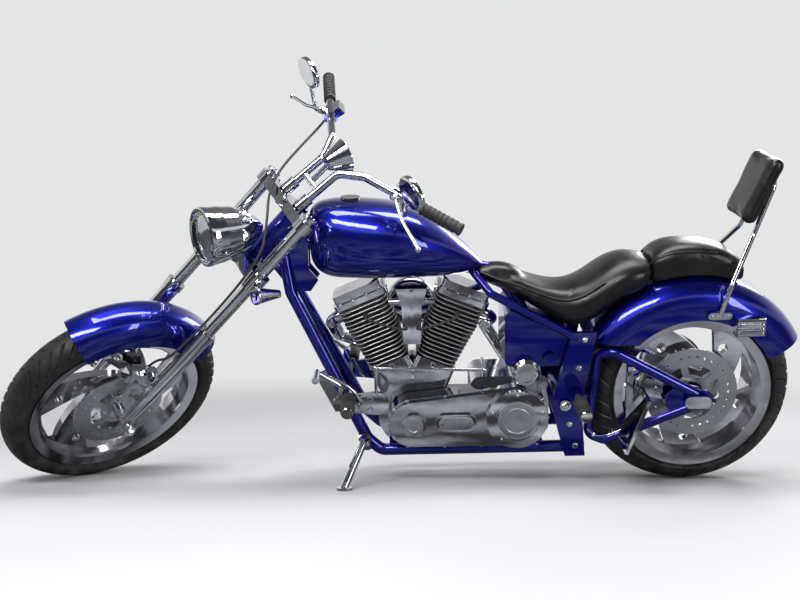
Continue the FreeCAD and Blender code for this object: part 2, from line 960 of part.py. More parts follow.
def bar_tip_run():
    start = V(bar_sweep_forward, bar_sweep_side, bar_sweep_height)
    end = V(bar_tip_forward, bar_tip_side, bar_tip_height)
    return end, (start - end).normalize()


def handlebar():
    halves = [bent_tube(bar_route(side), bar_radius, bar_bend_radius) for side in (-1, 1)]
    sleeves = []
    for side in (-1, 1):
        base, upper = bar_route(side)[:2]
        run = (upper - base).normalize()
        sleeves.append(rod(base, base + run * riser_height, riser_radius))
    below = block(V(-leg_spacing, -leg_spacing, 0), V(leg_spacing, leg_spacing, bar_route(1)[0].z))
    middle = (bar_route(1)[0] + bar_route(1)[1]) * 0.5
    cross = rod(middle, V(middle.x, -middle.y, middle.z), crossbar_radius)
    return joined(halves + sleeves + [cross]).cut(below)


def grip(side):
    tip, back = bar_tip_run()
    end = tip - back * grip_ring_width
    start = tip + back * grip_length
    core = rod(start, tip, grip_radius)
    rings = [rod(tip, end, grip_ring_radius),
             rod(start, start + back * grip_ring_width, grip_ring_radius)]
    pitch = grip_length / (grip_rib_count + 1)
    for index in range(grip_rib_count):
        place = tip + back * pitch * (index + 0.8)
        rings.append(rod(place, place + back * pitch * 0.5, grip_ring_radius))
    shape = joined([core] + rings).cut(rod(start + back * grip_length, tip, bar_radius + running_fit))
    return shape if side > 0 else mirrored(shape)


def control_place():
    """The control's own frame: y out along the bar, z up, x ahead."""
    tip, back = bar_tip_run()
    middle = tip + back * (grip_length + grip_ring_width + control_gap + control_length / 2)
    return FreeCAD.Placement(middle, FreeCAD.Rotation(X_AXIS, ORIGIN - back, Z_AXIS, "YXZ"))


def hand_control(side):
    half = control_length / 2
    body = rod(V(0, -half, 0), V(0, half, 0), control_radius)
    tank = block(V(-reservoir_width / 2, -reservoir_length / 2, reservoir_rise - reservoir_height / 2),
                 V(reservoir_width / 2, reservoir_length / 2, reservoir_rise + reservoir_height / 2))
    post = rod(ORIGIN, V(0, 0, reservoir_rise), control_radius / 2)
    root = V(lever_ahead, 0, -lever_root_drop)
    clamp = rod(ORIGIN, root, lever_radius * 2)
    end = V(lever_ahead + lever_radius * 4, lever_length, -lever_droop)
    knee = V(lever_ahead + lever_radius * 2, lever_length * lever_knee_out_share,
             -lever_droop * lever_knee_drop_share)
    lever = bent_tube([root, knee, end], lever_radius, lever_length / 4)
    lug = rod(ORIGIN, mirror_lug(), mirror_stem_radius * 1.5)
    ends = [ball(end, lever_ball_radius), ball(root, lever_radius * 2)]
    shape = joined([body, tank, post, clamp, lever, lug] + ends)
    shape = shape.cut(rod(V(0, -control_length, 0), V(0, control_length, 0), bar_radius + running_fit))
    shape.Placement = control_place()
    return shape if side > 0 else mirrored(shape)


def mirror_lug():
    return V(mirror_lug_ahead, mirror_lug_out, -mirror_lug_drop)


def mirror(side):
    """A dished glass on a bent stem from the control's lug."""
    place = control_place()
    run = (mirror_lug() * 1).normalize()
    foot = place.multVec(mirror_lug() + run * seat_gap)
    knee = place.multVec(mirror_lug() + run * mirror_stem_radius * 3)
    head = V(mirror_forward, mirror_side, mirror_height)
    stem = bent_tube([foot, knee, head], mirror_stem_radius, mirror_stem_radius)
    oval = Part.Ellipse(V(0, mirror_half_length, 0), V(0, 0, mirror_half_width), ORIGIN)
    shell = Part.Face(Part.Wire(oval.toShape())).extrude(V(mirror_depth, 0, 0))
    back = [edge for edge in shell.Edges if edge.BoundBox.XMin > mirror_depth / 2]
    shell = shell.makeFillet(mirror_depth * mirror_round_share, back)
    shell.translate(V(-mirror_depth / 2, 0, 0))
    shell.rotate(ORIGIN, Y_AXIS, rake_angle)
    shell.translate(head)
    shape = joined([stem, shell])
    return shape if side > 0 else mirrored(shape)


def gauge_cup():
    centre = V(gauge_forward, 0, gauge_height)
    tilt = math.radians(gauge_tilt)
    facing = V(-math.sin(tilt), 0, math.cos(tilt))
    outer = cone(centre - facing * gauge_depth * 0.6, centre + facing * gauge_depth * 0.4,
                 gauge_radius * 0.45, gauge_radius)
    hollow = rod(centre + facing * (gauge_depth * 0.4 - gauge_wall), centre + facing * gauge_depth,
                 gauge_radius - gauge_wall)
    low = (bar_route(1)[0] + bar_route(1)[1]) * 0.5
    post = rod(V(low.x, 0, low.z + crossbar_radius + seat_gap), centre - facing * gauge_depth * 0.3,
               crossbar_radius)
    return joined([outer, post]).cut(hollow)


def headlamp():
    rear = V(lamp_rear_forward, 0, lamp_rear_height)
    front = V(lamp_front_forward, 0, lamp_front_height)
    axis = (front - rear).normalize()
    length = (front - rear).Length
    profile_shares = ((0.0, 0.0), (0.0, 0.18), (0.06, 0.34), (0.25, 0.66), (0.5, 0.88), (0.75, 0.975),
                      (0.9, 1.0), (1.0, 1.0), (1.0, 0.9), (0.96, 0.9), (0.96, 0.0))
    corners = [V(share_out * lamp_radius, share_along * length, 0)
               for share_along, share_out in profile_shares]
    body = Part.Face(Part.makePolygon(corners + corners[:1])).revolve(ORIGIN, Y_AXIS, 360)
    body.Placement = FreeCAD.Placement(rear, FreeCAD.Rotation(Y_AXIS, axis))
    stalk_top = rear + axis * length * 0.45
    return body, stalk_top


def headlamp_bracket():
    body, top = headlamp()
    foot = V(fork_offset + tree_bar_half_width - overrun, 0, lower_tree_low + lower_tree_thickness / 2)
    arm = rod(foot, top, lamp_stalk_radius)
    pad = block(V(fork_offset + tree_bar_half_width - seat_gap, -lamp_stalk_radius * 2, lower_tree_low),
                V(fork_offset + tree_bar_half_width + lamp_stalk_radius, lamp_stalk_radius * 2,
                  lower_tree_low + lower_tree_thickness))
    front_of_tree = block(V(-overrun, -leg_spacing, 0),
                          V(fork_offset + tree_bar_half_width, leg_spacing, tube_top))
    return joined([arm.cut(front_of_tree), pad]).cut(body)


def front_signal(side):
    centre = V(signal_forward, side * signal_side, signal_height)
    half = V(signal_length / 2, 0, -signal_length / 4)
    body = cone(centre - half, centre + half, signal_radius * 0.45, signal_radius)
    anchor = V(fork_offset, side * leg_spacing / 2, lower_tree_low - seat_gap - signal_stalk_radius)
    knee = V(anchor.x, side * (leg_spacing / 2 + tree_clamp_radius + signal_stalk_radius * 2), anchor.z)
    stalk = bent_tube([anchor, knee, centre], signal_stalk_radius, signal_stalk_radius * 2)
    collar = rod(anchor - V(0, 0, signal_stalk_radius), anchor + V(0, 0, signal_stalk_radius),
                 tree_clamp_radius)
    hole = rod(fork_leg_axis(side, slider_top), fork_leg_axis(side, tube_top), tube_radius + running_fit)
    return joined([body, stalk, collar]).cut(hole)


def arch(radius, half_width, skirt_radius, corner, start, end, wall):
    """A fender: a rounded channel swept round the axle from start to end degrees."""
    def section(out, half, bend):
        crown = out
        points = [V(skirt_radius, half, 0), V(crown - bend, half, 0),
                  V(crown - bend + bend * math.sin(math.pi / 4),
                    half - bend + bend * math.cos(math.pi / 4), 0),
                  V(crown, half - bend, 0)]
        return points
    outer = section(radius, half_width, corner)
    inner = section(radius - wall, half_width - wall, corner - wall)
    flip = lambda point: V(point.x, -point.y, 0)
    edges = [Part.LineSegment(outer[0], outer[1]).toShape(), Part.Arc(*outer[1:4]).toShape()]
    if half_width - corner > wall:
        edges.append(Part.LineSegment(outer[3], flip(outer[3])).toShape())
    edges.append(Part.Arc(flip(outer[3]), flip(outer[2]), flip(outer[1])).toShape())
    edges.append(Part.LineSegment(flip(outer[1]), flip(outer[0])).toShape())
    edges.append(Part.LineSegment(flip(outer[0]), flip(inner[0])).toShape())
    edges.append(Part.LineSegment(flip(inner[0]), flip(inner[1])).toShape())
    edges.append(Part.Arc(flip(inner[1]), flip(inner[2]), flip(inner[3])).toShape())
    if half_width - corner > wall:
        edges.append(Part.LineSegment(flip(inner[3]), inner[3]).toShape())
    edges.append(Part.Arc(inner[3], inner[2], inner[1]).toShape())
    edges.append(Part.LineSegment(inner[1], inner[0]).toShape())
    edges.append(Part.LineSegment(inner[0], outer[0]).toShape())
    face = Part.Face(Part.Wire(edges))
    shell = face.revolve(ORIGIN, Y_AXIS, -(end - start))
    shell.rotate(ORIGIN, Y_AXIS, -start)
    return shell


def front_fender():
    """Drawn about the front axle with the steering straight and the floor level."""
    half = front_fender_half
    shell = arch(front_tyre_radius + front_fender_gap, half, front_tyre_radius - front_fender_skirt,
                 half * front_fender_round_share, front_fender_start_angle, front_fender_end_angle,
                 fender_wall)
    shell.rotate(ORIGIN, Y_AXIS, rake_angle)
    shell.translate(V(fork_offset, 0, 0))
    shell = joined([shell, fender_bracket(1), fender_bracket(-1)])
    return shell.cut(slider_space())


def fender_bracket(side):
    """A strap from the fender's side to its slider."""
    inner = side * (front_fender_half - fender_wall)
    outer = side * leg_spacing / 2
    height = front_tyre_radius - front_fender_skirt + fender_bracket_width * fender_bracket_rise_share
    half = fender_bracket_width / 2
    return block(V(fork_offset - half, min(inner, outer), height - half),
                 V(fork_offset + half, max(inner, outer), height + half))


def slider_space():
    """The room both sliders take, grown by a seat's gap."""
    return Part.makeCompound([slider_blank(side, seat_gap) for side in (-1, 1)])


# Frame

def neck():
    low = lower_tree_low + lower_tree_thickness + side_play
    high = upper_tree_low - side_play
    tube = rod(V(0, 0, low), V(0, 0, high), neck_radius)
    collars = [rod(V(0, 0, low), V(0, 0, low + neck_collar_height), neck_collar_radius),
               rod(V(0, 0, high - neck_collar_height), V(0, 0, high), neck_collar_radius)]
    body = joined([tube] + collars)
    body = body.cut(rod(V(0, 0, low - overrun), V(0, 0, high + overrun), stem_radius + running_fit))
    body.Placement = to_fork
    return body


def head_point(height):
    return fork_origin + head_up * height


def spine(gap):
    """The backbone and seat post as plain rods, grown by a gap."""
    neck_mid = head_point((lower_tree_low + upper_tree_low + upper_tree_thickness) / 2)
    start = neck_mid - head_forward * neck_radius * 0.5
    rear = V(backbone_rear_x, 0, backbone_rear_z)
    foot = V(pivot_x + pivot_radius * 2, 0, pivot_z + pivot_radius * 6)
    side = V(0, plate_side - plate_half_thickness, 0)
    return joined([rod(start, rear, backbone_radius + gap), rod(rear, foot, seat_post_radius + gap),
                   rod(foot - side, foot + side, cross_tube_radius + gap),
                   ball(rear, backbone_radius + gap)])


def frame_backbone():
    bore = rod(head_point(lower_tree_low), head_point(upper_tree_low + upper_tree_thickness),
               stem_radius + running_fit)
    neck_mid = head_point((lower_tree_low + upper_tree_low + upper_tree_thickness) / 2)
    start = neck_mid - head_forward * neck_radius * 0.5
    rear = V(backbone_rear_x, 0, backbone_rear_z)
    tube = rod(start, rear, backbone_radius)
    foot = V(pivot_x + pivot_radius * 2, 0, pivot_z + pivot_radius * 6)
    post = rod(rear, foot, seat_post_radius)
    cross = rod(V(foot.x, -plate_side + plate_half_thickness, foot.z),
                V(foot.x, plate_side - plate_half_thickness, foot.z), cross_tube_radius)
    gusset_low = head_point(lower_tree_low + lower_tree_thickness + neck_collar_height * 2)
    gusset = side_outline([(gusset_low.x, gusset_low.z), (neck_mid.x, neck_mid.z),
                           (tank_front_x - backbone_radius * 2, neck_mid.z - backbone_radius),
                           (gusset_low.x - backbone_radius * 2, gusset_low.z - backbone_radius)],
                          -backbone_radius / 2, backbone_radius / 2)
    return joined([neck(), tube, post, cross, ball(rear, backbone_radius), gusset]).cut(bore)


def neck_plate(side):
    """A flat plate from the neck to the tank's nose and down to the bend of a down tube."""
    high = head_point(gusset_high)
    low = head_point(gusset_low)
    outline = [(high.x, high.z), (tank_front_x + gusset_lead, gusset_nose_high_z),
               (tank_front_x + gusset_lead, gusset_nose_low_z),
               (tank_front_x - gusset_tail_back, gusset_tail_z),
               (tank_front_x + gusset_heel_lead, gusset_heel_z),
               (down_knee_x, down_knee_z), (low.x, low.z)]
    plate = side_outline(outline, gusset_side - gusset_half_thickness,
                         gusset_side + gusset_half_thickness)
    return plate if side > 0 else mirrored(plate)


def seat_rails(gap):
    """The two tubes under the seat's edges, from the backbone out and down to the rear plates."""
    tubes = []
    for side in (-1, 1):
        tubes.append(bent_tube([V(seat_rail_front_x, side * seat_rail_front_side, seat_rail_front_z),
                                V(seat_rail_knee_x, side * seat_rail_knee_side, seat_rail_knee_z),
                                V(seat_rail_rear_x, side * plate_side, seat_rail_rear_z)],
                               seat_rail_radius + gap, seat_rail_bend))
    return joined(tubes)


def down_tube(side):
    top = head_point(down_top_height) - head_forward * neck_radius * 0.6
    return bent_tube([V(top.x, side * neck_radius * 0.7, top.z),
                      V(down_knee_x, side * down_knee_side, down_knee_z),
                      V(cradle_front_x, side * rail_side, cradle_front_z),
                      V(cradle_knee_x, side * rail_side, rail_height),
                      V(rail_rear_x, side * rail_side, rail_height)], down_tube_radius,
                      down_tube_radius * 2)


def frame_cradle():
    tubes = [down_tube(side) for side in (-1, 1)]
    ties = [rod(V(x, -rail_side, tie_height), V(x, rail_side, tie_height), tie_radius)
            for x in (cradle_knee_x - cross_tube_radius * 2, rail_rear_x + cross_tube_radius * 5)]
    plates = [neck_plate(side) for side in (-1, 1)]
    return joined(tubes + ties + plates + [regulator_strap()])


def tube_slope():
    return math.degrees(math.atan2(down_knee_x - cradle_front_x, down_knee_z - cradle_front_z))


def tube_middle(height):
    """The place midway between the two down tubes at a height."""
    share = (height - cradle_front_z) / (down_knee_z - cradle_front_z)
    return V(cradle_front_x + (down_knee_x - cradle_front_x) * share, 0, height)


def regulator_strap():
    """A flat crossmember on the front of the down tubes that carries the regulator."""
    share = (regulator_z - cradle_front_z) / (down_knee_z - cradle_front_z)
    half = rail_side + (down_knee_side - rail_side) * share
    strap = block(V(down_tube_radius / 2, -half, -regulator_height / 4),
                  V(down_tube_radius, half, regulator_height / 4))
    strap.Placement = FreeCAD.Placement(tube_middle(regulator_z), FreeCAD.Rotation(Y_AXIS, tube_slope()))
    return strap


def rear_plate(side):
    """The broad upright that joins the bottom rail, the swingarm's pivot and the seat."""
    low = plate_side - plate_half_thickness
    high = plate_side + plate_half_thickness
    outline = [(plate_foot_x - plate_foot_width / 2, plate_foot_z - down_tube_radius),
               (plate_foot_x + plate_foot_width / 2, plate_foot_z - down_tube_radius),
               (plate_mid_x + plate_mid_width / 2, plate_mid_z),
               (plate_top_x + plate_top_width / 2, plate_top_z),
               (plate_top_x - plate_top_width / 2, plate_top_z),
               (plate_mid_x - plate_mid_width / 2, plate_mid_z)]
    body = side_outline(outline, low, high)
    body = body.cut(rod(V(pivot_x, 0, pivot_z), V(pivot_x, plate_side * 2, pivot_z), pivot_bore_radius))
    foot = block(V(plate_foot_x - plate_foot_width / 2, rail_side, plate_foot_z - down_tube_radius),
                 V(plate_foot_x + plate_foot_width / 2, low, plate_foot_z + down_tube_radius))
    body = joined([body, foot])
    return body if side > 0 else mirrored(body)


def axle_centre(y):
    return V(0, y, rear_tyre_radius)


def arm_loop(side, axle_y, grow=0.0):
    """One side of the swingarm: a tube from the axle forward, down and back to the axle."""
    inward = axle_y - arm_radius
    end = axle_centre(axle_y)
    points = [V(end.x, end.y, end.z + arm_plate_height / 4),
              V(arm_top_x, inward, arm_top_z),
              V(arm_top_x + arm_radius * 3, arm_front_side, arm_top_z - arm_radius),
              V(arm_foot_x + arm_radius, arm_front_side, arm_foot_z + arm_radius),
              V(arm_foot_x - arm_radius * 2, inward, arm_foot_z + arm_radius / 2),
              V(end.x, end.y, end.z - arm_plate_height / 4)]
    loop = bent_tube(points, arm_radius + grow, arm_radius * 1.5)
    half = arm_plate_thickness / 2
    plate = side_hull((end.x - arm_plate_length * 0.2, end.z), arm_plate_height / 2.4,
                      (end.x + arm_plate_length * 0.5, end.z), arm_plate_height / 2,
                      axle_y - half, axle_y + half)
    lug = side_hull((pivot_x, pivot_z), pivot_radius * 0.9, (arm_foot_x + arm_radius, pivot_z),
                    arm_radius,
                    arm_front_side - half, arm_front_side + half)
    body = joined([loop, plate, lug])
    return body if side > 0 else mirrored(body)


def swingarm():
    half = arm_front_side + arm_plate_thickness / 2
    cross = rod(V(pivot_x, -half, pivot_z), V(pivot_x, half, pivot_z), pivot_radius)
    body = joined([cross, arm_loop(1, arm_left_y), arm_loop(-1, arm_right_y)])
    reach = arm_radius + overrun
    bore = rod(axle_centre(-arm_right_y - reach), axle_centre(arm_left_y + reach),
               rear_axle_radius + running_fit)
    pivot_bore = rod(V(pivot_x, -half - overrun, pivot_z), V(pivot_x, half + overrun, pivot_z),
                     pivot_bore_radius + running_fit)
    return body.cut(bore).cut(pivot_bore)


def pivot_bolt():
    half = plate_side + plate_half_thickness
    shaft = rod(V(pivot_x, -half, pivot_z), V(pivot_x, half, pivot_z), pivot_bore_radius - running_fit)
    heads = [rod(V(pivot_x, side * half, pivot_z), V(pivot_x, side * (half + pivot_bore_radius), pivot_z),
                 pivot_bore_radius * 1.6) for side in (-1, 1)]
    return joined([shaft] + heads)


def rear_axle():
    left, right = arm_left_y + arm_radius + side_play, -arm_right_y - arm_radius - side_play
    shaft = rod(axle_centre(right), axle_centre(left), rear_axle_radius)
    covers = []
    for y, side in ((left, 1), (right, -1)):
        near = y + side * seat_gap
        far = y + side * axle_cover_thickness
        covers.append(side_hull((-axle_cover_length * 0.25, rear_tyre_radius), axle_cover_height / 2,
                                (axle_cover_length * 0.25, rear_tyre_radius), axle_cover_height / 2,
                                min(near, far), max(near, far)))
    reach_in = arm_radius + axle_spacer_back
    spacers = [rod(axle_centre(rear_hub_left + side_play), axle_centre(arm_left_y - reach_in),
                   axle_head_radius),
               rod(axle_centre(-arm_right_y + reach_in),
                   axle_centre(-belt_y - belt_width / 2 - pulley_flange - side_play), axle_head_radius)]
    reach = rod(axle_centre(right - axle_cover_thickness / 2),
                axle_centre(left + axle_cover_thickness / 2), rear_axle_radius)
    return joined([shaft, reach] + covers + spacers)


# Engine

def on_cylinder(tilt, shape):
    shape.rotate(ORIGIN, Y_AXIS, tilt)
    shape.translate(V(crank_x, 0, crank_z))
    return shape


def cylinder_point(tilt, x, y, z):
    """A place in a tilted cylinder's own frame, its z along the bore from the crankshaft."""
    return V(crank_x, 0, crank_z) + FreeCAD.Rotation(Y_AXIS, tilt).multVec(V(x, y, z))


def cylinder_space():
    """The room the two finned cylinders take, grown by a seat's gap."""
    end = barrel_start + barrel_length + head_length
    spaces = []
    for tilt in (cylinder_angle, -cylinder_angle):
        half = fin_half_length + seat_gap
        space = block(V(-half, -fin_half_width, barrel_start), V(half, fin_half_width, end))
        spaces.append(on_cylinder(tilt, space))
    return Part.makeCompound(spaces)


def rounded_slab(half_x, half_y, corner, low, high):
    slab = block(V(-half_x, -half_y, low), V(half_x, half_y, high))
    uprights = [edge
                for edge in slab.Edges if abs(edge.Vertexes[0].Z - edge.Vertexes[1].Z) > (high - low) / 2]
    return slab.makeFillet(corner, uprights)


def cylinder(tilt):
    """A finned barrel and head, drawn upright and tilted about the crankshaft."""
    barrel_end = barrel_start + barrel_length
    head_end = barrel_end + head_length
    core = rod(V(0, 0, barrel_start), V(0, 0, barrel_end), barrel_core_radius)
    head = rounded_slab(fin_half_length * 0.78, fin_half_width * 0.8, fin_corner * 0.7, barrel_end,
                        head_end)
    pieces = [core, head]
    pitch = barrel_length / barrel_fin_count
    for index in range(barrel_fin_count):
        low = barrel_start + pitch * (index + 0.5)
        shrink = fin_half_length * 0.02 * index
        pieces.append(rounded_slab(fin_half_length - fin_half_length * 0.2 + shrink, fin_half_width,
                                   fin_corner, low, low + fin_thickness))
    pitch = head_length / head_fin_count
    for index in range(head_fin_count):
        low = barrel_end + pitch * (index + 0.3)
        pieces.append(rounded_slab(fin_half_length, fin_half_width, fin_corner, low, low + fin_thickness))
    return on_cylinder(tilt, joined(pieces))


def rocker_box(tilt):
    low = barrel_start + barrel_length + head_length
    base = rounded_slab(rocker_half_length, rocker_half_width, rocker_corner, low, low + rocker_step)
    lid = rounded_slab(rocker_half_length - rocker_inset, rocker_half_width - rocker_inset,
                       rocker_corner - rocker_inset, low + rocker_step, low + rocker_length)
    return on_cylinder(tilt, joined([base, lid]))


def engine_case():
    body = rod(V(crank_x, -case_half_width, crank_z), V(crank_x, case_half_width, crank_z), case_radius)
    decks = []
    for tilt in (cylinder_angle, -cylinder_angle):
        deck = rounded_slab(case_deck_half * 0.8, case_half_width, case_skirt / 2, 0.0, barrel_start)
        decks.append(on_cylinder(tilt, deck))
    rear = block(V(gearbox_front_x, -case_half_width, crank_z - case_radius * 0.6),
                 V(crank_x, case_half_width, crank_z + case_radius * 0.4))
    cam_y = -case_half_width - cam_cover_thickness
    cam = rod(V(crank_x, cam_y, crank_z + cam_cover_radius * 0.4),
              V(crank_x, -case_half_width, crank_z + cam_cover_radius * 0.4), cam_cover_radius)
    feet = block(V(crank_x - case_radius * 0.8, -case_half_width, tie_height + tie_radius + seat_gap),
                 V(crank_x + case_radius * 0.7, case_half_width, crank_z))
    return joined([body] + decks + [rear, cam, feet])


def pushrod_tubes():
    tubes = []
    for tilt in (cylinder_angle, -cylinder_angle):
        for offset in (-pushrod_spread, pushrod_spread):
            foot = V(offset, -tappet_out, barrel_start * 0.72)
            top = V(offset * 1.4, -fin_half_width - pushrod_radius - seat_gap,
                    barrel_start + barrel_length + head_length * 0.8)
            tube = rod(foot, top, pushrod_radius)
            base = rod(foot, foot + V(0, 0, tappet_height), tappet_radius)
            tubes.append(on_cylinder(tilt, joined([tube, base])))
    return joined(tubes)


def coil_cover():
    """A chrome shield between the cylinders: broad head, narrow body and a rib down the middle."""
    outline = [(crank_x - coil_top_half, coil_top_z), (crank_x + coil_top_half, coil_top_z),
               (crank_x + coil_body_half * 1.15, coil_shoulder_z),
               (crank_x + coil_body_half, coil_bottom_z),
               (crank_x - coil_body_half, coil_bottom_z),
               (crank_x - coil_body_half * 1.15, coil_shoulder_z)]
    body = side_outline(outline, coil_side_rear, coil_side_front)
    rib = side_outline([(crank_x - coil_rib_half, coil_top_z - coil_rib_rise),
                        (crank_x + coil_rib_half, coil_top_z - coil_rib_rise),
                        (crank_x + coil_rib_half, coil_bottom_z + coil_rib_rise),
                        (crank_x - coil_rib_half, coil_bottom_z + coil_rib_rise)],
                       coil_side_front, coil_side_front + coil_rib_rise)
    stay_y = coil_side_rear + coil_rib_half
    stay = rod(V(crank_x - coil_side_front, stay_y, coil_shoulder_z),
               V(crank_x + coil_side_front, stay_y, coil_shoulder_z), coil_rib_half * 2)
    return joined([body, rib, stay]).cut(cylinder_space())


def primary_cover():
    front, rear = (crank_x, crank_z), (clutch_x, clutch_z)
    body = side_hull(front, primary_front_radius, rear, primary_rear_radius, primary_inner_y,
                     primary_outer_y - primary_rim_depth)
    face = side_hull(front, primary_front_radius - primary_rim_step, rear,
                     primary_rear_radius - primary_rim_step,
                     primary_outer_y - primary_rim_depth, primary_outer_y)
    return joined([body, face])


def primary_caps():
    face = primary_outer_y + seat_gap
    derby = rod(V(clutch_x, face, clutch_z), V(clutch_x, face + derby_thickness, clutch_z), derby_radius)
    groove_low, groove_high = derby_inner_radius, derby_inner_radius + derby_groove
    ring = turned([(groove_low, 0.0), (groove_high, 0.0), (groove_high, derby_groove + overrun),
                   (groove_low, derby_groove + overrun)])
    ring.translate(V(clutch_x, face + derby_thickness - derby_groove, clutch_z))
    derby = derby.cut(ring)
    front = rod(V(crank_x, face, crank_z), V(crank_x, face + front_cap_thickness, crank_z),
                front_cap_radius)
    middle_x = (crank_x + clutch_x) / 2 + inspection_height / 2
    middle_z = crank_z + (clutch_z - crank_z) * 0.4
    half = (inspection_length - inspection_height) / 2
    plate = side_hull((middle_x - half, middle_z), inspection_height / 2, (middle_x + half, middle_z),
                      inspection_height / 2, face, face + inspection_thickness)
    slit = block(V(middle_x - inspection_split / 2, face + inspection_thickness / 2,
                   middle_z - inspection_height), V(middle_x + inspection_split / 2,
                                                    face + inspection_thickness * 2, middle_z + inspection_height))
    return Part.makeCompound([derby, front, plate.cut(slit)])


def gearbox():
    body = rounded_block(gearbox_rear_x, gearbox_front_x, -gearbox_half_width, gearbox_half_width,
                         gearbox_low_z, gearbox_high_z, case_skirt)
    output = rod(V(clutch_x, -belt_y - belt_width / 2 - pulley_flange, clutch_z),
                 V(clutch_x, -gearbox_half_width, clutch_z), front_pulley_radius * 0.5)
    return joined([body, output])


def rounded_block(x_low, x_high, y_low, y_high, z_low, z_high, corner):
    body = block(V(x_low, y_low, z_low), V(x_high, y_high, z_high))
    edges = [edge
             for edge in body.Edges if abs(edge.Vertexes[0].Y - edge.Vertexes[1].Y) > (y_high - y_low) / 2]
    return body.makeFillet(corner, edges)


def starter():
    motor = rod(V(starter_x, starter_inner_y, starter_z), V(starter_x, starter_outer_y, starter_z),
                starter_radius)
    cap = cone(V(starter_x, starter_outer_y, starter_z),
               V(starter_x, starter_outer_y + starter_radius / 3,
                 starter_z), starter_radius, starter_radius * 0.6)
    return joined([motor, cap])


def intake():
    centre = V(crank_x, -air_cleaner_inner_y, air_cleaner_z)
    cover = rod(centre, centre - V(0, air_cleaner_depth, 0), air_cleaner_radius)
    cover = cover.makeFillet(air_cleaner_depth / 3, [cover.Edges[0], cover.Edges[2]])
    fork_point = V(crank_x, -intake_radius, air_cleaner_z)
    throat = rod(centre, fork_point, intake_radius)
    head = barrel_start + barrel_length + head_length / 2
    runners = [rod(fork_point, cylinder_point(tilt, 0, -intake_radius, head), intake_radius - pipe_wall)
               for tilt in (cylinder_angle, -cylinder_angle)]
    return joined([cover, throat, ball(fork_point, intake_radius)] + runners).cut(cylinder_space())


def exhaust_pipe(tilt, reach, shares, low_z, front_x, rear_x):
    """A bent pipe from a head's port to a straight muffler, open at its end."""
    head = barrel_start + barrel_length + head_length / 2
    port = cylinder_point(tilt, reach, -pipe_radius, head)
    elbow = cylinder_point(tilt, reach * port_elbow_share, -pipe_radius, head)
    points = [port, elbow]
    points += [V(crank_x + pipe_reach * along, -muffler_side * out, low_z + (port.z - low_z) * up)
               for along, out, up in shares]
    points.append(V(front_x, -muffler_side, low_z))
    pipe = bent_tube(points, pipe_radius, pipe_bend_radius)
    muffler = rod(V(front_x, -muffler_side, low_z), V(rear_x, -muffler_side, low_z), muffler_radius)
    mouth = rod(V(rear_x - overrun, -muffler_side, low_z),
                V(rear_x + muffler_radius * 3, -muffler_side, low_z), muffler_radius - pipe_wall)
    return joined([pipe, muffler.cut(mouth)])


def exhaust():
    """Two pipes from the heads to staggered mufflers on the right."""
    reach = fin_half_length + seat_gap
    front = exhaust_pipe(cylinder_angle, reach, front_pipe_shares, muffler_low_z, muffler_front_x,
                         muffler_rear_x)
    rear = exhaust_pipe(-cylinder_angle, -reach, rear_pipe_shares, muffler_high_z, muffler_front_x,
                        muffler_high_rear_x)
    return Part.makeCompound([front, rear])


def drive_belt():
    low = -belt_y - belt_width / 2
    high = -belt_y + belt_width / 2
    rear, front = (0.0, rear_tyre_radius), (clutch_x, clutch_z)
    gap = seat_gap
    outer = side_hull(rear, rear_pulley_radius + gap + belt_thickness, front,
                      front_pulley_radius + gap + belt_thickness, low, high)
    inner = side_hull(rear, rear_pulley_radius + gap, front, front_pulley_radius + gap, low - overrun,
                      high + overrun)
    return outer.cut(inner)


def front_pulley():
    low = -belt_y - belt_width / 2
    high = -belt_y + belt_width / 2
    return rod(V(clutch_x, low, clutch_z), V(clutch_x, high, clutch_z), front_pulley_radius).cut(
        rod(V(clutch_x, low - overrun, clutch_z), V(clutch_x, high + overrun, clutch_z),
            front_pulley_radius * 0.5))


def rear_pulley():
    low = -belt_y - belt_width / 2
    high = -belt_y + belt_width / 2
    body = turned([(rear_axle_radius + running_fit, low), (rear_pulley_radius, low),
                   (rear_pulley_radius, high), (rear_axle_radius + running_fit, high)])
    flange = turned([(rear_axle_radius * 2, low - pulley_flange),
                     (rear_pulley_radius, low - pulley_flange), (rear_pulley_radius,
                                                                 low), (rear_axle_radius * 2, low)])
    hub = turned([(rear_axle_radius + running_fit, high), (hub_radius, high),
                  (hub_radius, -rear_hub_right - seat_gap), (rear_axle_radius + running_fit,
                                                             -rear_hub_right - seat_gap)])
    return joined([body, flange, hub])


# Bodywork

def fuel_tank():
    body = lofted(tank_front_x, tank_tail_x, tank_bottom_z, tank_top_z, tank_half_width,
                  tank_section_shares, tank_squareness)
    neck_mid = head_point((lower_tree_low + upper_tree_low + upper_tree_thickness) / 2)
    rear = V(backbone_rear_x, 0, backbone_rear_z)
    start = neck_mid + (neck_mid - rear).normalize() * overrun
    tunnel = rod(start, rear, backbone_radius + tunnel_gap)
    slot_low = V(0, 0, -(tank_top_z - tank_bottom_z))
    half = backbone_radius + tunnel_gap
    corners = [start + V(0, -half, 0), rear + V(0, -half, 0), rear + V(0, -half, 0) + slot_low,
               start + V(0, -half, 0) + slot_low]
    slot = Part.Face(Part.makePolygon(corners + corners[:1])).extrude(V(0, half * 2, 0))
    cap_hole = rod(V(tank_cap_x, 0, tank_top_z - tank_cap_sink),
                   V(tank_cap_x, 0, tank_top_z + tank_cap_sink), tank_cap_radius + seat_gap)
    return body.cut(tunnel).cut(slot).cut(cap_hole).cut(seat_rails(tunnel_gap))


def tank_cap():
    return rod(V(tank_cap_x, 0, tank_top_z - tank_cap_sink + seat_gap),
               V(tank_cap_x, 0, tank_top_z + tank_cap_height - seat_gap), tank_cap_radius)


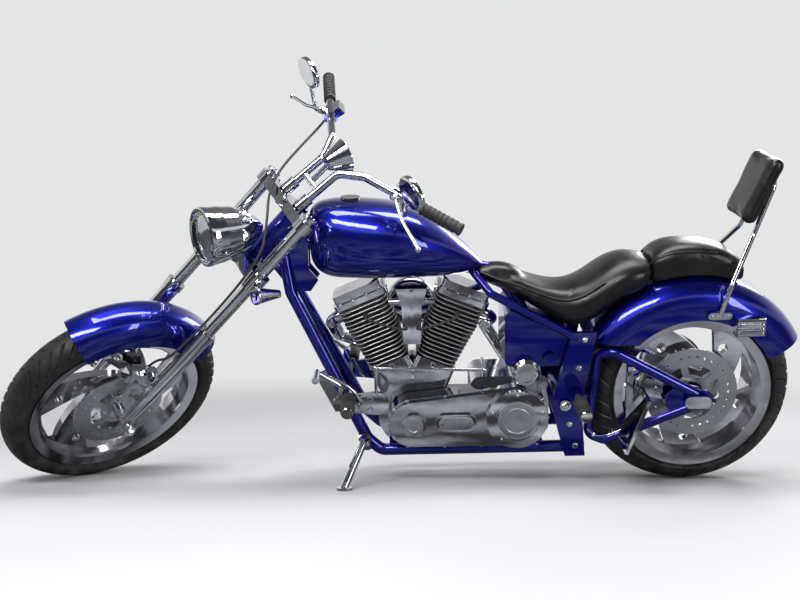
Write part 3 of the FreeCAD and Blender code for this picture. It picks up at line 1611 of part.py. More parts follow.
def fender_crown_radius():
    return rear_tyre_radius + rear_fender_gap


def rear_fender():
    shell = arch(fender_crown_radius(), rear_fender_half_width, rear_fender_skirt, rear_fender_corner,
                 rear_fender_start_angle, rear_fender_end_angle, fender_wall)
    shell.translate(V(0, 0, rear_tyre_radius))
    below = block(V(0, -rear_fender_half_width - overrun, 0),
                  V(wheelbase, rear_fender_half_width + overrun, arm_top_z + arm_radius + moving_gap))
    return shell.cut(below)


def clear_of_fender(shape):
    bulk = rod(axle_centre(-plate_side * 2), axle_centre(plate_side * 2),
               fender_crown_radius() + seat_gap)
    return shape.cut(bulk)


def rider_seat():
    body = lofted(seat_front_x, seat_rear_x, seat_bottom_z, seat_top_z, seat_half_width,
                  seat_section_shares, tank_squareness)
    tank = fuel_tank()
    tank.translate(V(-seat_gap, 0, -seat_gap))
    body = clear_of_fender(body).cut(spine(seat_gap)).cut(tank)
    return body.cut(oil_blank(seat_gap)).cut(seat_rails(seat_gap))


def pillion_pad():
    body = lofted(pad_front_x, pad_rear_x, pad_bottom_z, pad_top_z, pad_half_width, pad_section_shares,
                  tank_squareness * 1.3)
    return clear_of_fender(body)


def backrest_pad():
    low = V(back_low_x, 0, back_low_z)
    high = V(back_high_x, 0, back_high_z)
    run = high - low
    body = block(V(-back_thickness / 2, -back_half_width, 0),
                 V(back_thickness / 2, back_half_width, run.Length))
    body = body.makeFillet(back_corner, body.Edges)
    body.Placement = FreeCAD.Placement(low, FreeCAD.Rotation(Z_AXIS, run))
    return body


def sissy_bar():
    """A hoop from both sides of the fender up behind the backrest."""
    low = V(back_low_x, 0, back_low_z)
    high = V(back_high_x, 0, back_high_z)
    run = (high - low).normalize()
    back = V(-run.z, 0, run.x) * (back_thickness / 2 + sissy_radius + seat_gap)
    top = low + run * (high - low).Length * 0.7 + back
    bottom = low + back
    points = []
    for side in (1, -1):
        leg = [V(sissy_foot_x, side * sissy_side, sissy_foot_z),
               V(sissy_knee_x, side * sissy_side, sissy_knee_z),
               V(bottom.x, side * back_half_width * 0.62, bottom.z - back_corner),
               V(top.x, side * back_half_width * 0.5, top.z)]
        points += leg if side > 0 else leg[::-1]
    hoop = bent_tube(points, sissy_radius, sissy_radius * 4)
    feet = []
    for side in (1, -1):
        inner = side * (rear_fender_half_width + seat_gap)
        outer = side * (sissy_side + sissy_foot_thickness / 2)
        feet.append(side_hull((sissy_foot_x - sissy_foot_length / 3, sissy_foot_z), sissy_foot_height / 2,
                              (sissy_foot_x + sissy_foot_length / 3, sissy_foot_z), sissy_foot_height / 2,
                              min(inner, outer), max(inner, outer)))
    return joined([hoop] + feet)


def marker_lamp(side):
    inner = rear_fender_half_width + seat_gap
    low = V(marker_x - marker_length / 2, inner, marker_z - marker_height / 2)
    high = V(marker_x + marker_length / 2, inner + marker_depth, marker_z + marker_height / 2)
    body = block(low, high)
    uprights = [edge for edge in body.Edges if edge.BoundBox.YMin > inner + marker_depth / 2]
    body = body.makeFillet(marker_depth / 4, uprights)
    pitch = marker_height / (marker_slat_count + 1)
    for index in range(marker_slat_count):
        z = low.z + pitch * (index + 1) - marker_slat_gap / 2
        body = body.cut(block(V(low.x - overrun, inner + marker_depth * 0.7, z),
                              V(high.x + overrun, high.y + overrun, z + marker_slat_gap)))
    return body if side > 0 else mirrored(body)


def oil_blank(gap):
    outline = [(oil_front_x + gap, oil_low_z), (oil_front_x + gap, oil_front_top_z + gap),
               (oil_rear_x - gap, oil_rear_top_z + gap), (oil_rear_x - gap, oil_low_z)]
    return side_outline(outline, -oil_half_width - gap, oil_half_width + gap)


def oil_tank():
    body = oil_blank(0.0)
    sharp = [edge for edge in body.Edges if abs(edge.Vertexes[0].Y - edge.Vertexes[1].Y) > oil_half_width]
    body = body.makeFillet(oil_corner, sharp)
    motor = rod(V(starter_x, starter_inner_y - overrun, starter_z),
                V(starter_x, starter_outer_y, starter_z),
                starter_radius + seat_gap)
    return body.cut(spine(tunnel_gap)).cut(motor).cut(seat_rails(tunnel_gap))


def regulator():
    body = block(V(0, -regulator_width / 2, -regulator_height / 2),
                 V(regulator_depth - regulator_fin_depth, regulator_width / 2, regulator_height / 2))
    fins = []
    pitch = regulator_width / regulator_fin_count
    for index in range(regulator_fin_count):
        y = -regulator_width / 2 + pitch * (index + 0.25)
        fins.append(block(V(0, y, -regulator_height / 2),
                          V(regulator_depth, y + pitch * 0.5, regulator_height / 2)))
    body = joined([body] + fins)
    body.translate(V(down_tube_radius + seat_gap, 0, 0))
    body.Placement = FreeCAD.Placement(tube_middle(regulator_z),
                                       FreeCAD.Rotation(Y_AXIS, tube_slope())).multiply(
        body.Placement)
    return body


# Foot controls

def ribbed_peg(inner, length, radius):
    """A rubber peg along y from its inner end, with raised ribs and a bright cap."""
    core = rod(V(0, inner, 0), V(0, inner + length, 0), radius)
    pieces = [core,
              rod(V(0, inner + length, 0), V(0, inner + length + peg_cap_length, 0), peg_cap_radius)]
    pitch = length / peg_rib_count
    for index in range(peg_rib_count):
        y = inner + pitch * (index + 0.3)
        pieces.append(rod(V(0, y, 0), V(0, y + pitch * 0.45, 0), radius + peg_rib_rise))
    return joined(pieces)


def forward_control(side):
    low = control_side - control_plate_thickness / 2
    high = control_side + control_plate_thickness / 2
    plate = side_hull((control_front_x, control_mid_z), control_plate_height / 3,
                      (control_rear_x, control_mid_z), control_plate_height / 2, low, high)
    foot = V(cradle_front_x, rail_side, cradle_front_z)
    knee = V(down_knee_x, down_knee_side, down_knee_z)
    share = (control_mid_z - cradle_front_z) / (down_knee_z - cradle_front_z)
    seat = foot + (knee - foot) * share
    tube_space = rod(foot, knee, down_tube_radius + seat_gap)
    stay = rod(seat, V(seat.x, high, seat.z), control_stay_radius).cut(tube_space)
    hanger = rod(V(peg_x, low, peg_z), V(peg_x, peg_inner_y, peg_z), peg_radius * 0.7)
    pivot = V(pedal_pivot_x, high + lever_arm_radius, pedal_pivot_z)
    toe = V(toe_x, toe_inner_y, toe_z)
    arm = rod(pivot, toe, lever_arm_radius)
    post = rod(V(pedal_pivot_x, low, pedal_pivot_z),
               V(pedal_pivot_x, high + lever_arm_radius * 2, pedal_pivot_z), lever_arm_radius * 1.4)
    web = side_hull((pedal_pivot_x, pedal_pivot_z), lever_arm_radius * 1.4,
                    (control_front_x, control_mid_z), lever_arm_radius * 1.4, low, high)
    toe_peg = rod(V(toe_x, toe_inner_y, toe_z), V(toe_x, toe_inner_y + toe_length, toe_z), toe_radius)
    body = joined([plate, stay, hanger, arm, post, web, toe_peg])
    return body if side > 0 else mirrored(body)


def rider_peg(side):
    peg = ribbed_peg(peg_inner_y + seat_gap, peg_length, peg_radius)
    peg.translate(V(peg_x, 0, peg_z))
    return peg if side > 0 else mirrored(peg)


def rear_peg(side):
    start = rear_peg_inner_y + rear_peg_arm_length
    peg = ribbed_peg(start, rear_peg_length, peg_radius)
    arm = rod(V(0, rear_peg_inner_y, 0), V(0, start, 0), rear_peg_arm_radius)
    body = joined([peg, arm])
    body.translate(V(rear_peg_x + peg_radius * 1.6, 0, rear_peg_z))
    return body if side > 0 else mirrored(body)


def shift_rod():
    front = V(shift_rod_front_x, shift_rod_y, shift_rod_front_z)
    rear = V(shift_rod_rear_x, shift_rod_y, shift_rod_rear_z)
    run = rod(rear, front, shift_rod_radius)
    plate_face = control_side + control_plate_thickness / 2 + seat_gap + shift_rod_radius
    drop = rod(front, V(control_rear_x, plate_face, control_mid_z + control_plate_height / 3),
               shift_rod_radius)
    arm_y = shift_arm_side
    arm = bent_tube([rear, V(rear.x, arm_y, rear.z), V(rear.x, arm_y, gearbox_high_z + seat_gap)],
                    shift_rod_radius, shift_rod_radius * 2)
    return joined([run, drop, arm, ball(front, shift_rod_radius * 1.8),
                   ball(rear, shift_rod_radius * 1.8)])


def plate_holder():
    half = plate_holder_height / 2
    board = block(V(-plate_board_thickness / 2, plate_holder_inner_y, -half),
                  V(plate_board_thickness / 2, plate_holder_inner_y + plate_holder_width, half))
    rim_low = block(V(-plate_holder_thickness, plate_holder_inner_y - overrun, -half - overrun),
                    V(0, plate_holder_inner_y + plate_holder_width + overrun, half + overrun))
    body = joined([board, rim_low])
    body.rotate(ORIGIN, Y_AXIS, -plate_tilt)
    body.translate(V(plate_holder_x, 0, plate_holder_z))
    half = plate_holder_thickness
    strap = block(V(plate_holder_x - half, arm_left_y - arm_radius, arm_foot_z + arm_radius),
                  V(plate_holder_x + half, plate_holder_inner_y, arm_top_z - arm_radius * 2))
    inner = block(V(0, 0, 0), V(wheelbase, arm_left_y, wheelbase))
    loop = arm_loop(1, arm_left_y, seat_gap)
    return joined([body, strap.cut(inner)]).cut(loop)


# Cords

def brake_line():
    """From the right control down behind the headlamp and along the left leg to the caliper."""
    place = control_place()
    begin = place.multVec(V(0, -line_start_in, -control_radius - seat_gap))
    points = [V(begin.x, -begin.y, begin.z)] + [V(*row) for row in line_route_rows]
    last = points[-1]
    turn = math.radians(front_caliper_angle - rake_angle)
    reach = disc_radius * caliper_reach_share + caliper_depth + line_end_gap
    points.append(V(last.x, last.y, (reach - (last.x - fork_offset) * math.cos(turn)) / math.sin(turn)))
    print("brake line length", round(bent_path(points, line_bend).Length))
    grip_space = rod(V(0, -control_length, 0), V(0, control_length, 0), control_radius + seat_gap)
    grip_space.Placement = place
    return bent_tube(points, line_radius, line_bend).cut(mirrored(grip_space))


def plug_lead(tilt):
    """A lead from the coil cover's face to the plug in a head's left side, ending in a boot."""
    plug = cylinder_point(tilt, 0, fin_half_width + seat_gap,
                          barrel_start + barrel_length + head_length / 2)
    boot_end = V(plug.x, plug.y + lead_boot_length, plug.z)
    start_x = crank_x + math.copysign(lead_offset, tilt)
    points = [V(start_x, coil_side_front + seat_gap, lead_coil_z), V(start_x, lead_side, lead_coil_z),
              V(plug.x, lead_side, plug.z), boot_end]
    return joined([bent_tube(points, lead_radius, lead_bend), rod(plug, boot_end, lead_boot_radius)])


# Side stand

def floor_point(x, y, height):
    """The place over (x, y) of the upright machine that is height above the floor once it leans."""
    base = parked.multVec(V(x, y, 0))
    return V(x, y, (height - base.z) / floor_up.z)


stand_pivot = V(stand_pivot_x, stand_pivot_y, stand_pivot_z)
stand_foot = floor_point(stand_foot_x, stand_foot_y, stand_foot_thickness)
stand_run = (stand_foot - stand_pivot).normalize()
stand_axis = stand_run.cross(V(-1, stand_swing_share, 0)).normalize()


def side_stand():
    hub = rod(stand_pivot - stand_axis * stand_hub_half_length,
              stand_pivot + stand_axis * stand_hub_half_length, stand_hub_radius)
    leg = rod(stand_pivot, stand_foot - floor_up * (stand_foot_thickness * stand_sink_share),
              stand_leg_radius)
    foot = rod(stand_foot - floor_up * stand_foot_thickness, stand_foot, stand_foot_radius)
    tab_at = stand_pivot + stand_run * ((stand_foot - stand_pivot).Length * stand_spring_share)
    lift = stand_axis * (stand_leg_radius + stand_spring_radius)
    tab = rod(tab_at, tab_at + lift, stand_tab_radius)
    spring = rod(tab_at + lift, stand_pivot + lift * stand_spring_lift_share, stand_spring_radius)
    body = joined([hub, leg, foot, tab, spring])
    return body.cut(rod(stand_pivot - stand_axis * stand_hub_radius * 2,
                        stand_pivot + stand_axis * stand_hub_radius * 2, stand_pin_radius + running_fit))


def stand_bracket():
    reach = stand_hub_half_length + side_play
    base = stand_pivot - stand_axis * (reach + stand_leg_radius * 2)
    pin = rod(base, stand_pivot + stand_axis * reach, stand_pin_radius)
    ear = rod(stand_pivot - stand_axis * reach, base, stand_hub_radius)
    tie = rod(base, V(cradle_front_x, rail_side, cradle_front_z), stand_leg_radius)
    return joined([pin, ear, tie])


# Every piece, by name, with the frame it is drawn in

def on_fork(shape):
    copy = shape.copy()
    copy.Placement = steered.multiply(copy.Placement)
    return copy


def on_front_axle(shape):
    copy = shape.copy()
    copy.Placement = front_wheel_place.multiply(copy.Placement)
    return copy


def on_rear_axle(shape):
    copy = shape.copy()
    copy.Placement = rear_wheel_place.multiply(copy.Placement)
    return copy


def front_wheel_pieces():
    bore = front_axle_radius + running_fit
    return {
        "front_rim": rim(front_lip_radius, front_lip_half_width, 0.0, -front_hub_half_width,
                         front_hub_half_width, bore),
        "front_tyre": tyre(front_tyre_radius, front_tread_half, front_crown_radius, front_lip_radius,
                           front_lip_half_width),
        "front_disc": brake_disc(front_hub_half_width - disc_thickness - side_play),
    }


def rear_wheel_pieces():
    bore = rear_axle_radius + running_fit
    return {
        "rear_rim": rim(rear_lip_radius, rear_lip_half_width, rear_lip_half_width - web_rear_offset,
                        -rear_hub_right, rear_hub_left, bore),
        "rear_tyre": tyre(rear_tyre_radius, rear_tread_half, rear_crown_radius, rear_lip_radius,
                          rear_lip_half_width),
        "rear_disc": brake_disc(rear_hub_left - disc_thickness - side_play),
        "rear_pulley": rear_pulley(),
    }


def fork_pieces():
    head, stalk = headlamp()
    return {
        "upper_tree": upper_tree(),
        "lower_tree": joined([lower_tree(), steering_stem(), headlamp_bracket()]),
        "fork_tubes": Part.makeCompound([fork_tube(1), fork_tube(-1)]),
        "fork_sliders": Part.makeCompound([slider(1), slider(-1)]),
        "front_axle": front_axle(),
        "front_fender": front_fender(),
        "front_caliper": front_caliper(),
        "handlebar": handlebar(),
        "grips": Part.makeCompound([grip(1), grip(-1)]),
        "hand_controls": Part.makeCompound([hand_control(1), hand_control(-1)]),
        "mirrors": Part.makeCompound([mirror(1), mirror(-1)]),
        "gauge_cup": gauge_cup(),
        "headlamp": head,
        "front_signals": Part.makeCompound([front_signal(1), front_signal(-1)]),
        "brake_line": brake_line(),
    }


def front_caliper():
    disc_y = front_hub_half_width - disc_thickness - side_play
    body = caliper(disc_y, front_caliper_angle - rake_angle)
    body.translate(V(fork_offset, 0, 0))
    low = disc_y + caliper_width / 2 - overrun
    lug = block(V(fork_offset - slider_radius / 2, low, disc_radius - caliper_lug_half),
                V(fork_offset + slider_radius, leg_spacing / 2, disc_radius + caliper_lug_half))
    return joined([body, lug]).cut(slider_space())


def rear_caliper():
    disc_y = rear_hub_left - disc_thickness - side_play
    body = caliper(disc_y, rear_caliper_angle)
    body.translate(V(0, 0, rear_tyre_radius))
    turn = math.radians(rear_caliper_angle)
    outer = disc_y + (disc_thickness + caliper_width) / 2
    plate = side_hull((0.0, rear_tyre_radius), caliper_plate_radius,
                      (disc_radius * math.cos(turn), rear_tyre_radius + disc_radius * math.sin(turn)),
                      caliper_plate_radius, outer - overrun, outer + overrun)
    bore = rod(axle_centre(disc_y), axle_centre(arm_left_y), axle_head_radius + running_fit)
    return joined([body, plate]).cut(bore)


def chassis_pieces():
    backbone = frame_backbone()
    cradle = joined([frame_cradle(), stand_bracket()]).cut(backbone)
    return {
        "frame_backbone": backbone,
        "frame_cradle": cradle,
        "frame_plates": joined([rear_plate(1), rear_plate(-1), pivot_bolt(),
                                seat_rails(0.0)]).cut(cradle).cut(spine(0)),
        "swingarm": swingarm(),
        "rear_axle": rear_axle(),
        "rear_caliper": rear_caliper(),
        "engine_case": engine_case(),
        "cylinders": Part.makeCompound([cylinder(cylinder_angle), cylinder(-cylinder_angle)]),
        "rocker_boxes": Part.makeCompound([rocker_box(cylinder_angle), rocker_box(-cylinder_angle)]),
        "pushrod_tubes": pushrod_tubes(),
        "coil_cover": coil_cover(),
        "primary_cover": primary_cover(),
        "primary_caps": primary_caps(),
        "gearbox": joined([gearbox(), starter(), front_pulley()]),
        "intake": intake(),
        "exhaust": exhaust(),
        "drive_belt": drive_belt(),
        "fuel_tank": fuel_tank(),
        "tank_cap": tank_cap(),
        "oil_tank": oil_tank(),
        "rider_seat": rider_seat(),
        "pillion_pad": pillion_pad(),
        "backrest_pad": backrest_pad(),
        "sissy_bar": sissy_bar(),
        "rear_fender": rear_fender(),
        "marker_lamps": Part.makeCompound([marker_lamp(1), marker_lamp(-1)]),
        "regulator": regulator(),
        "forward_controls": Part.makeCompound([forward_control(1), forward_control(-1)]),
        "foot_pegs": Part.makeCompound([rider_peg(1), rider_peg(-1), rear_peg(1), rear_peg(-1)]),
        "shift_rod": shift_rod(),
        "plate_holder": plate_holder(),
        "cables": Part.makeCompound([plug_lead(cylinder_angle), plug_lead(-cylinder_angle)]),
    }


def all_pieces():
    pieces = chassis_pieces()
    pieces["side_stand"] = side_stand()
    for name, shape in rear_wheel_pieces().items():
        pieces[name] = on_rear_axle(shape)
    for name, shape in fork_pieces().items():
        pieces[name] = on_fork(shape)
    for name, shape in front_wheel_pieces().items():
        pieces[name] = on_front_axle(shape)
    return pieces


def main():
    pieces = all_pieces()
    for shape in pieces.values():
        shape.Placement = parked.multiply(shape.Placement)
    box = Part.makeCompound(list(pieces.values())).optimalBoundingBox()
    home = V(-(box.XMin + box.XMax) / 2, -(box.YMin + box.YMax) / 2, -box.ZMin)
    for name, shape in pieces.items():
        shape.translate(home)
        shape.exportStep("parts/" + name + ".step")
        print(name, "solids", len(shape.Solids), "valid", shape.isValid())
    place = FreeCAD.Placement(home, FreeCAD.Rotation()).multiply(parked)
    print("box", [round(value, 2) for value in (box.XLength, box.YLength, box.ZLength)])
    print("parked base", list(place.Base), "turn", list(place.Rotation.Q))
    print("steering point", place.multVec(fork_origin), "axis", place.Rotation.multVec(head_up))
    front = place.multiply(front_wheel_place)
    print("front axle point", front.multVec(ORIGIN), "axis", front.Rotation.multVec(Y_AXIS))
    rear = place.multiply(rear_wheel_place)
    print("rear axle point", rear.multVec(ORIGIN), "axis", rear.Rotation.multVec(Y_AXIS))
    print("stand point", place.multVec(stand_pivot), "axis", place.Rotation.multVec(stand_axis))


main()
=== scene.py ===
# %% [markdown]
# A long chopper motorcycle, dressed over its fixed frame of named metal pieces. The frame brings every
# tube, casting and shell to its real place. This lesson adds finishes, cushions, tyre tread, lamps and
# fastenings.

# %% Load the frame
import bpy, bmesh, math, json
from mathutils import Vector, Matrix

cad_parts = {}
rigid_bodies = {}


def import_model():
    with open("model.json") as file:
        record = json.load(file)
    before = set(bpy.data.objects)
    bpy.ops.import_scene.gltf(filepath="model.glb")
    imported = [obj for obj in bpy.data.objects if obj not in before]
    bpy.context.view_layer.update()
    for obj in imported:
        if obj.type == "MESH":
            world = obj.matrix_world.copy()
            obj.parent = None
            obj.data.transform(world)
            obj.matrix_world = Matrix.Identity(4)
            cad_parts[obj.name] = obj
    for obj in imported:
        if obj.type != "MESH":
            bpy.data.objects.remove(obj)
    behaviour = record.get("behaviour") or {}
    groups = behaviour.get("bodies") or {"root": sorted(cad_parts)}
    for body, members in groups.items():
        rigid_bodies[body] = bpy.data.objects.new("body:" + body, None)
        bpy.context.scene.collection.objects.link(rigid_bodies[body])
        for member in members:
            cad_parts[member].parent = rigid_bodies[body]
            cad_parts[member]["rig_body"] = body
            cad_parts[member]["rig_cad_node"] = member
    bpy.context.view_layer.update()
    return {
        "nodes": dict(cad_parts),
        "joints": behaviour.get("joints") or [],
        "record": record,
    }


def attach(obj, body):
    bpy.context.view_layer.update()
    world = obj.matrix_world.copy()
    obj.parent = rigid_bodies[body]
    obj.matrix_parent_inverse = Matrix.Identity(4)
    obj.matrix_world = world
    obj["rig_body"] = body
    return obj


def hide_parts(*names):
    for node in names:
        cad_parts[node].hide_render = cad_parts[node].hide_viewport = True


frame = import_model()
nodes = frame["nodes"]

# %% [markdown]
# The machine leans on its side stand with its fork turned, so nothing on it is square to the floor. Four
# small coordinate frames make up for that: one for the frame and engine, one for all that turns with the
# handlebar, and one on each axle. They come from the joints, whose places and axes the frame tells. In
# each, x runs forward, y to the rider's left and z up, and places are given in millimetres.

# %% Frames on the machine, the fork and the axles
joints = {joint["name"]: joint for joint in frame["joints"]}
REAR_AXLE = Vector(joints["rear_wheel_spin"]["pos_m"])
FRONT_AXLE = Vector(joints["front_wheel_spin"]["pos_m"])
REAR_RADIUS, FORK_OFFSET = 0.332, 0.062

def axes(ahead, left, up, base):
    turn = Matrix((ahead, left, up)).transposed().to_4x4()
    turn.translation = base
    return turn

bike_left = Vector(joints["rear_wheel_spin"]["axis"]).normalized()
bike_ahead = bike_left.cross(Vector((0, 1, 0))).normalized()
bike_up = bike_ahead.cross(bike_left)
BIKE = axes(bike_ahead, bike_left, bike_up, REAR_AXLE - bike_up * REAR_RADIUS)
REAR_WHEEL = axes(bike_ahead, bike_left, bike_up, REAR_AXLE)
fork_up = Vector(joints["steering_turn"]["axis"]).normalized()
fork_left = Vector(joints["front_wheel_spin"]["axis"]).normalized()
fork_ahead = fork_left.cross(fork_up).normalized()
FORK = axes(fork_ahead, fork_left, fork_up, FRONT_AXLE - fork_ahead * FORK_OFFSET)
FRONT_WHEEL = axes(fork_ahead, fork_left, fork_up, FRONT_AXLE)

def stood(base, place, facing=(0, 1, 0), upward=(0, 0, 1)):
    """Stands a piece that is drawn along its own z at a place in millimetres, facing a direction."""
    out = Vector(facing).normalized()
    high = Vector(upward) - out * out.dot(Vector(upward))
    if high.length < 0.01:
        high = Vector((1, 0, 0)) - out * out.x
    high.normalize()
    return base @ axes(high.cross(out), high, out, Vector(place) / 1000)

UPRIGHT = ((0, 0, 1), (1, 0, 0))

def on_both_sides(base, *places):
    """Faces outwards at each place on the left, and then at its mirror place on the right."""
    return [stood(base, (x, side * y, z), (0, side, 0)) for side in (1, -1) for x, y, z in places]

print("fork leans back", round(math.degrees(math.acos(fork_up.z)), 1), "degrees")

# %% [markdown]
# The camera stands level with the engine's top, a little over three metres out on the machine's left, with
# a lens of about 47 mm. The picture's middle is a touch off the lens's, which the small shift repeats.

# %% Camera
LENS, SHIFT_X, SHIFT_Y = 46.87, -0.0025, -0.00975
AHEAD_OF_AXLE, BESIDE_AXLE, EYE_HEIGHT = 0.91966, 3.40726, 0.6127
camera_data = bpy.data.cameras.new("camera")
camera_data.lens = LENS
camera_data.shift_x = SHIFT_X
camera_data.shift_y = SHIFT_Y
camera = bpy.data.objects.new("camera", camera_data)
bpy.context.scene.collection.objects.link(camera)
camera.location = (REAR_AXLE.x + AHEAD_OF_AXLE, REAR_AXLE.y + BESIDE_AXLE, EYE_HEIGHT)
camera.rotation_euler = (math.radians(90), 0, math.radians(180))
bpy.context.scene.camera = camera
print("camera at", [round(value, 3) for value in camera.location])

# %% [markdown]
# A motorcycle is mostly mirrors, so its looks come from what it reflects. The floor, the room and every
# finish are trees of nodes. These helpers keep the trees short: they add a node with its sockets filled,
# stretch a value, reckon with two values, blend colours or shaders, and read the place on a piece itself.

# %% Helpers for node trees
scene = bpy.context.scene
scene.view_settings.view_transform = "Standard"

def node_tree(owner):
    owner.use_nodes = True
    owner.node_tree.nodes.clear()
    return owner.node_tree

def new_node(tree, kind, inputs=None, **settings):
    node = tree.nodes.new("ShaderNode" + kind)
    for key, value in settings.items():
        setattr(node, key, value)
    for key, value in (inputs or {}).items():
        if isinstance(value, bpy.types.NodeSocket):
            tree.links.new(value, node.inputs[key])
        else:
            node.inputs[key].default_value = value
    return node

def between(tree, value, low, high, first=0.0, last=1.0, how="LINEAR"):
    """Stretches a value so that low to high becomes first to last."""
    ends = {"Value": value, "From Min": low, "From Max": high, "To Min": first, "To Max": last}
    return new_node(tree, "MapRange", ends, interpolation_type=how).outputs[0]

def reckon(tree, operation, first, second, clamp=False):
    return new_node(tree, "Math", {0: first, 1: second}, operation=operation, use_clamp=clamp).outputs[0]

def times(tree, first, second):
    return reckon(tree, "MULTIPLY", first, second, clamp=True)

def blend_colours(tree, mask, first, second):
    return new_node(tree, "Mix", {0: mask, 6: first, 7: second}, data_type="RGBA").outputs[2]

def blend_shaders(tree, mask, first, second):
    return new_node(tree, "MixShader", {0: mask, 1: first.outputs[0], 2: second.outputs[0]})

def own_place(tree):
    return new_node(tree, "TexCoord").outputs["Object"]

print("colours shown as", scene.view_settings.view_transform)

# %% [markdown]
# The camera sees a plain pale room, and the floor fades into it with distance, so no horizon cuts the
# picture. The floor that the metal mirrors is streaked, as boards are, so a flat cover isn't one flat grey.

# %% Floor
PALE, GREY_FLOOR = (0.78, 0.785, 0.79, 1), (0.56, 0.56, 0.57, 1)
DARK_BOARD, PALE_BOARD = (0.012, 0.012, 0.015, 1), (0.36, 0.37, 0.40, 1)
FADE_START, FADE_END = 1.3, 4.6
bpy.ops.mesh.primitive_plane_add(size=40)
floor = bpy.context.object
floor.name = "studio_floor"
floor_paint = bpy.data.materials.new("studio_floor")
tree = node_tree(floor_paint)
ray = new_node(tree, "LightPath").outputs
boards = new_node(tree, "Mapping", {"Vector": own_place(tree), "Scale": (0.9, 5.0, 1.0)})
grain = new_node(tree, "TexNoise", {"Vector": boards.outputs[0], "Scale": 2.2, "Detail": 6.0}).outputs[0]
streaks = blend_colours(tree, between(tree, grain, 0.44, 0.60), DARK_BOARD, PALE_BOARD)
tone = blend_colours(tree, ray["Is Glossy Ray"], GREY_FLOOR, streaks)
rough = between(tree, grain, 0.0, 1.0, 0.60, 0.72)
near = new_node(tree, "BsdfPrincipled", {"Base Color": tone, "Roughness": rough, "Specular IOR Level": 0.2})
far = new_node(tree, "Emission", {"Color": PALE})
reach = new_node(tree, "VectorMath", {0: own_place(tree)}, operation="LENGTH").outputs["Value"]
fade = between(tree, reach, FADE_START, FADE_END, how="SMOOTHSTEP")
seen_far = reckon(tree, "MULTIPLY", fade, ray["Is Camera Ray"])
new_node(tree, "OutputMaterial", {"Surface": blend_shaders(tree, seen_far, near, far).outputs[0]})
floor.data.materials.append(floor_paint)
print("floor", [round(value) for value in floor.dimensions[:2]], "m")

# %% [markdown]
# What the metal sees is another matter: chrome in an evenly white room looks like paper. A real studio is
# dark behind the camera, so the surround is dim on that side and overhead, with one soft bright band at
# shoulder height, and white behind the machine.

# %% Surround
WHITE_WALL, DIM_WALL, BAND = (0.86, 0.86, 0.87, 1), (0.05, 0.055, 0.065, 1), (0.75, 0.76, 0.78, 1)
scene.world = bpy.data.worlds.new("studio")
tree = node_tree(scene.world)
sight = new_node(tree, "SeparateXYZ", {0: new_node(tree, "TexCoord").outputs["Generated"]}).outputs
behind_camera = between(tree, sight["Y"], -0.25, 0.30, how="SMOOTHSTEP")
overhead = between(tree, sight["Z"], 0.25, 0.80, 0.0, 0.85, "SMOOTHSTEP")
rise = between(tree, sight["Z"], 0.20, 0.28, how="SMOOTHSTEP")
fall = between(tree, sight["Z"], 0.36, 0.46, 1.0, 0.0, "SMOOTHSTEP")
dark = blend_colours(tree, reckon(tree, "MULTIPLY", rise, fall), DIM_WALL, BAND)
shade = blend_colours(tree, reckon(tree, "MAXIMUM", behind_camera, overhead), WHITE_WALL, dark)
mirrored = new_node(tree, "Background", {"Color": shade, "Strength": 1.0})
fill = new_node(tree, "Background", {"Color": (0.86, 0.88, 0.90, 1), "Strength": 0.42})
seen = new_node(tree, "Background", {"Color": PALE, "Strength": 1.0})
ray = new_node(tree, "LightPath").outputs
by_metal = blend_shaders(tree, ray["Is Glossy Ray"], fill, mirrored)
straight = reckon(tree, "MAXIMUM", ray["Is Camera Ray"], ray["Is Transmission Ray"])
surround = blend_shaders(tree, straight, by_metal, seen)
new_node(tree, "OutputWorld", {"Surface": surround.outputs[0]})
print("surround of", len(tree.nodes), "nodes")

# %% [markdown]
# Four broad soft lamps draw the bright lines along the bodywork: one in front and above, one straight
# overhead, one behind that lights the far edges, and a low one beside the rear wheel.

# %% Lamps
def soft_lamp(name, at, aim, width, height, watts):
    data = bpy.data.lights.new(name, "AREA")
    data.shape = "RECTANGLE"
    data.size, data.size_y, data.energy = width, height, watts
    lamp = bpy.data.objects.new(name, data)
    scene.collection.objects.link(lamp)
    lamp.location = at
    lamp.rotation_euler = (Vector(aim) - Vector(at)).to_track_quat("-Z", "Y").to_euler()

soft_lamp("key_lamp", (1.2, 2.7, 2.7), (0.1, 0, 0.5), 2.6, 0.7, 110)
soft_lamp("top_lamp", (-0.1, 0.2, 3.0), (0, 0, 0.6), 3.2, 0.6, 80)
soft_lamp("rim_lamp", (-2.3, -2.2, 2.3), (-0.2, 0, 0.6), 1.6, 1.1, 50)
soft_lamp("low_lamp", (-2.4, 2.4, 1.0), (-0.2, 0, 0.4), 0.5, 1.5, 22)
print("lamps", [lamp.name for lamp in bpy.data.lights])

# %% [markdown]
# Several finishes share the same small effects. Fine grain is a field of little cells with a slow patchy
# mask. Polish marks are long thin streaks on a slight waviness, as a wheel leaves them. Metal flake is a
# field of tiny cells, each with its own brightness, under a faint ripple of lacquer. Edge wear is where
# broad and small noise agree, so that it comes in nibbles rather than bands. Dust gathers low down. Each is
# one node group with named sockets, built once; it hands out masks and heights, and every finish gives it
# its own numbers.

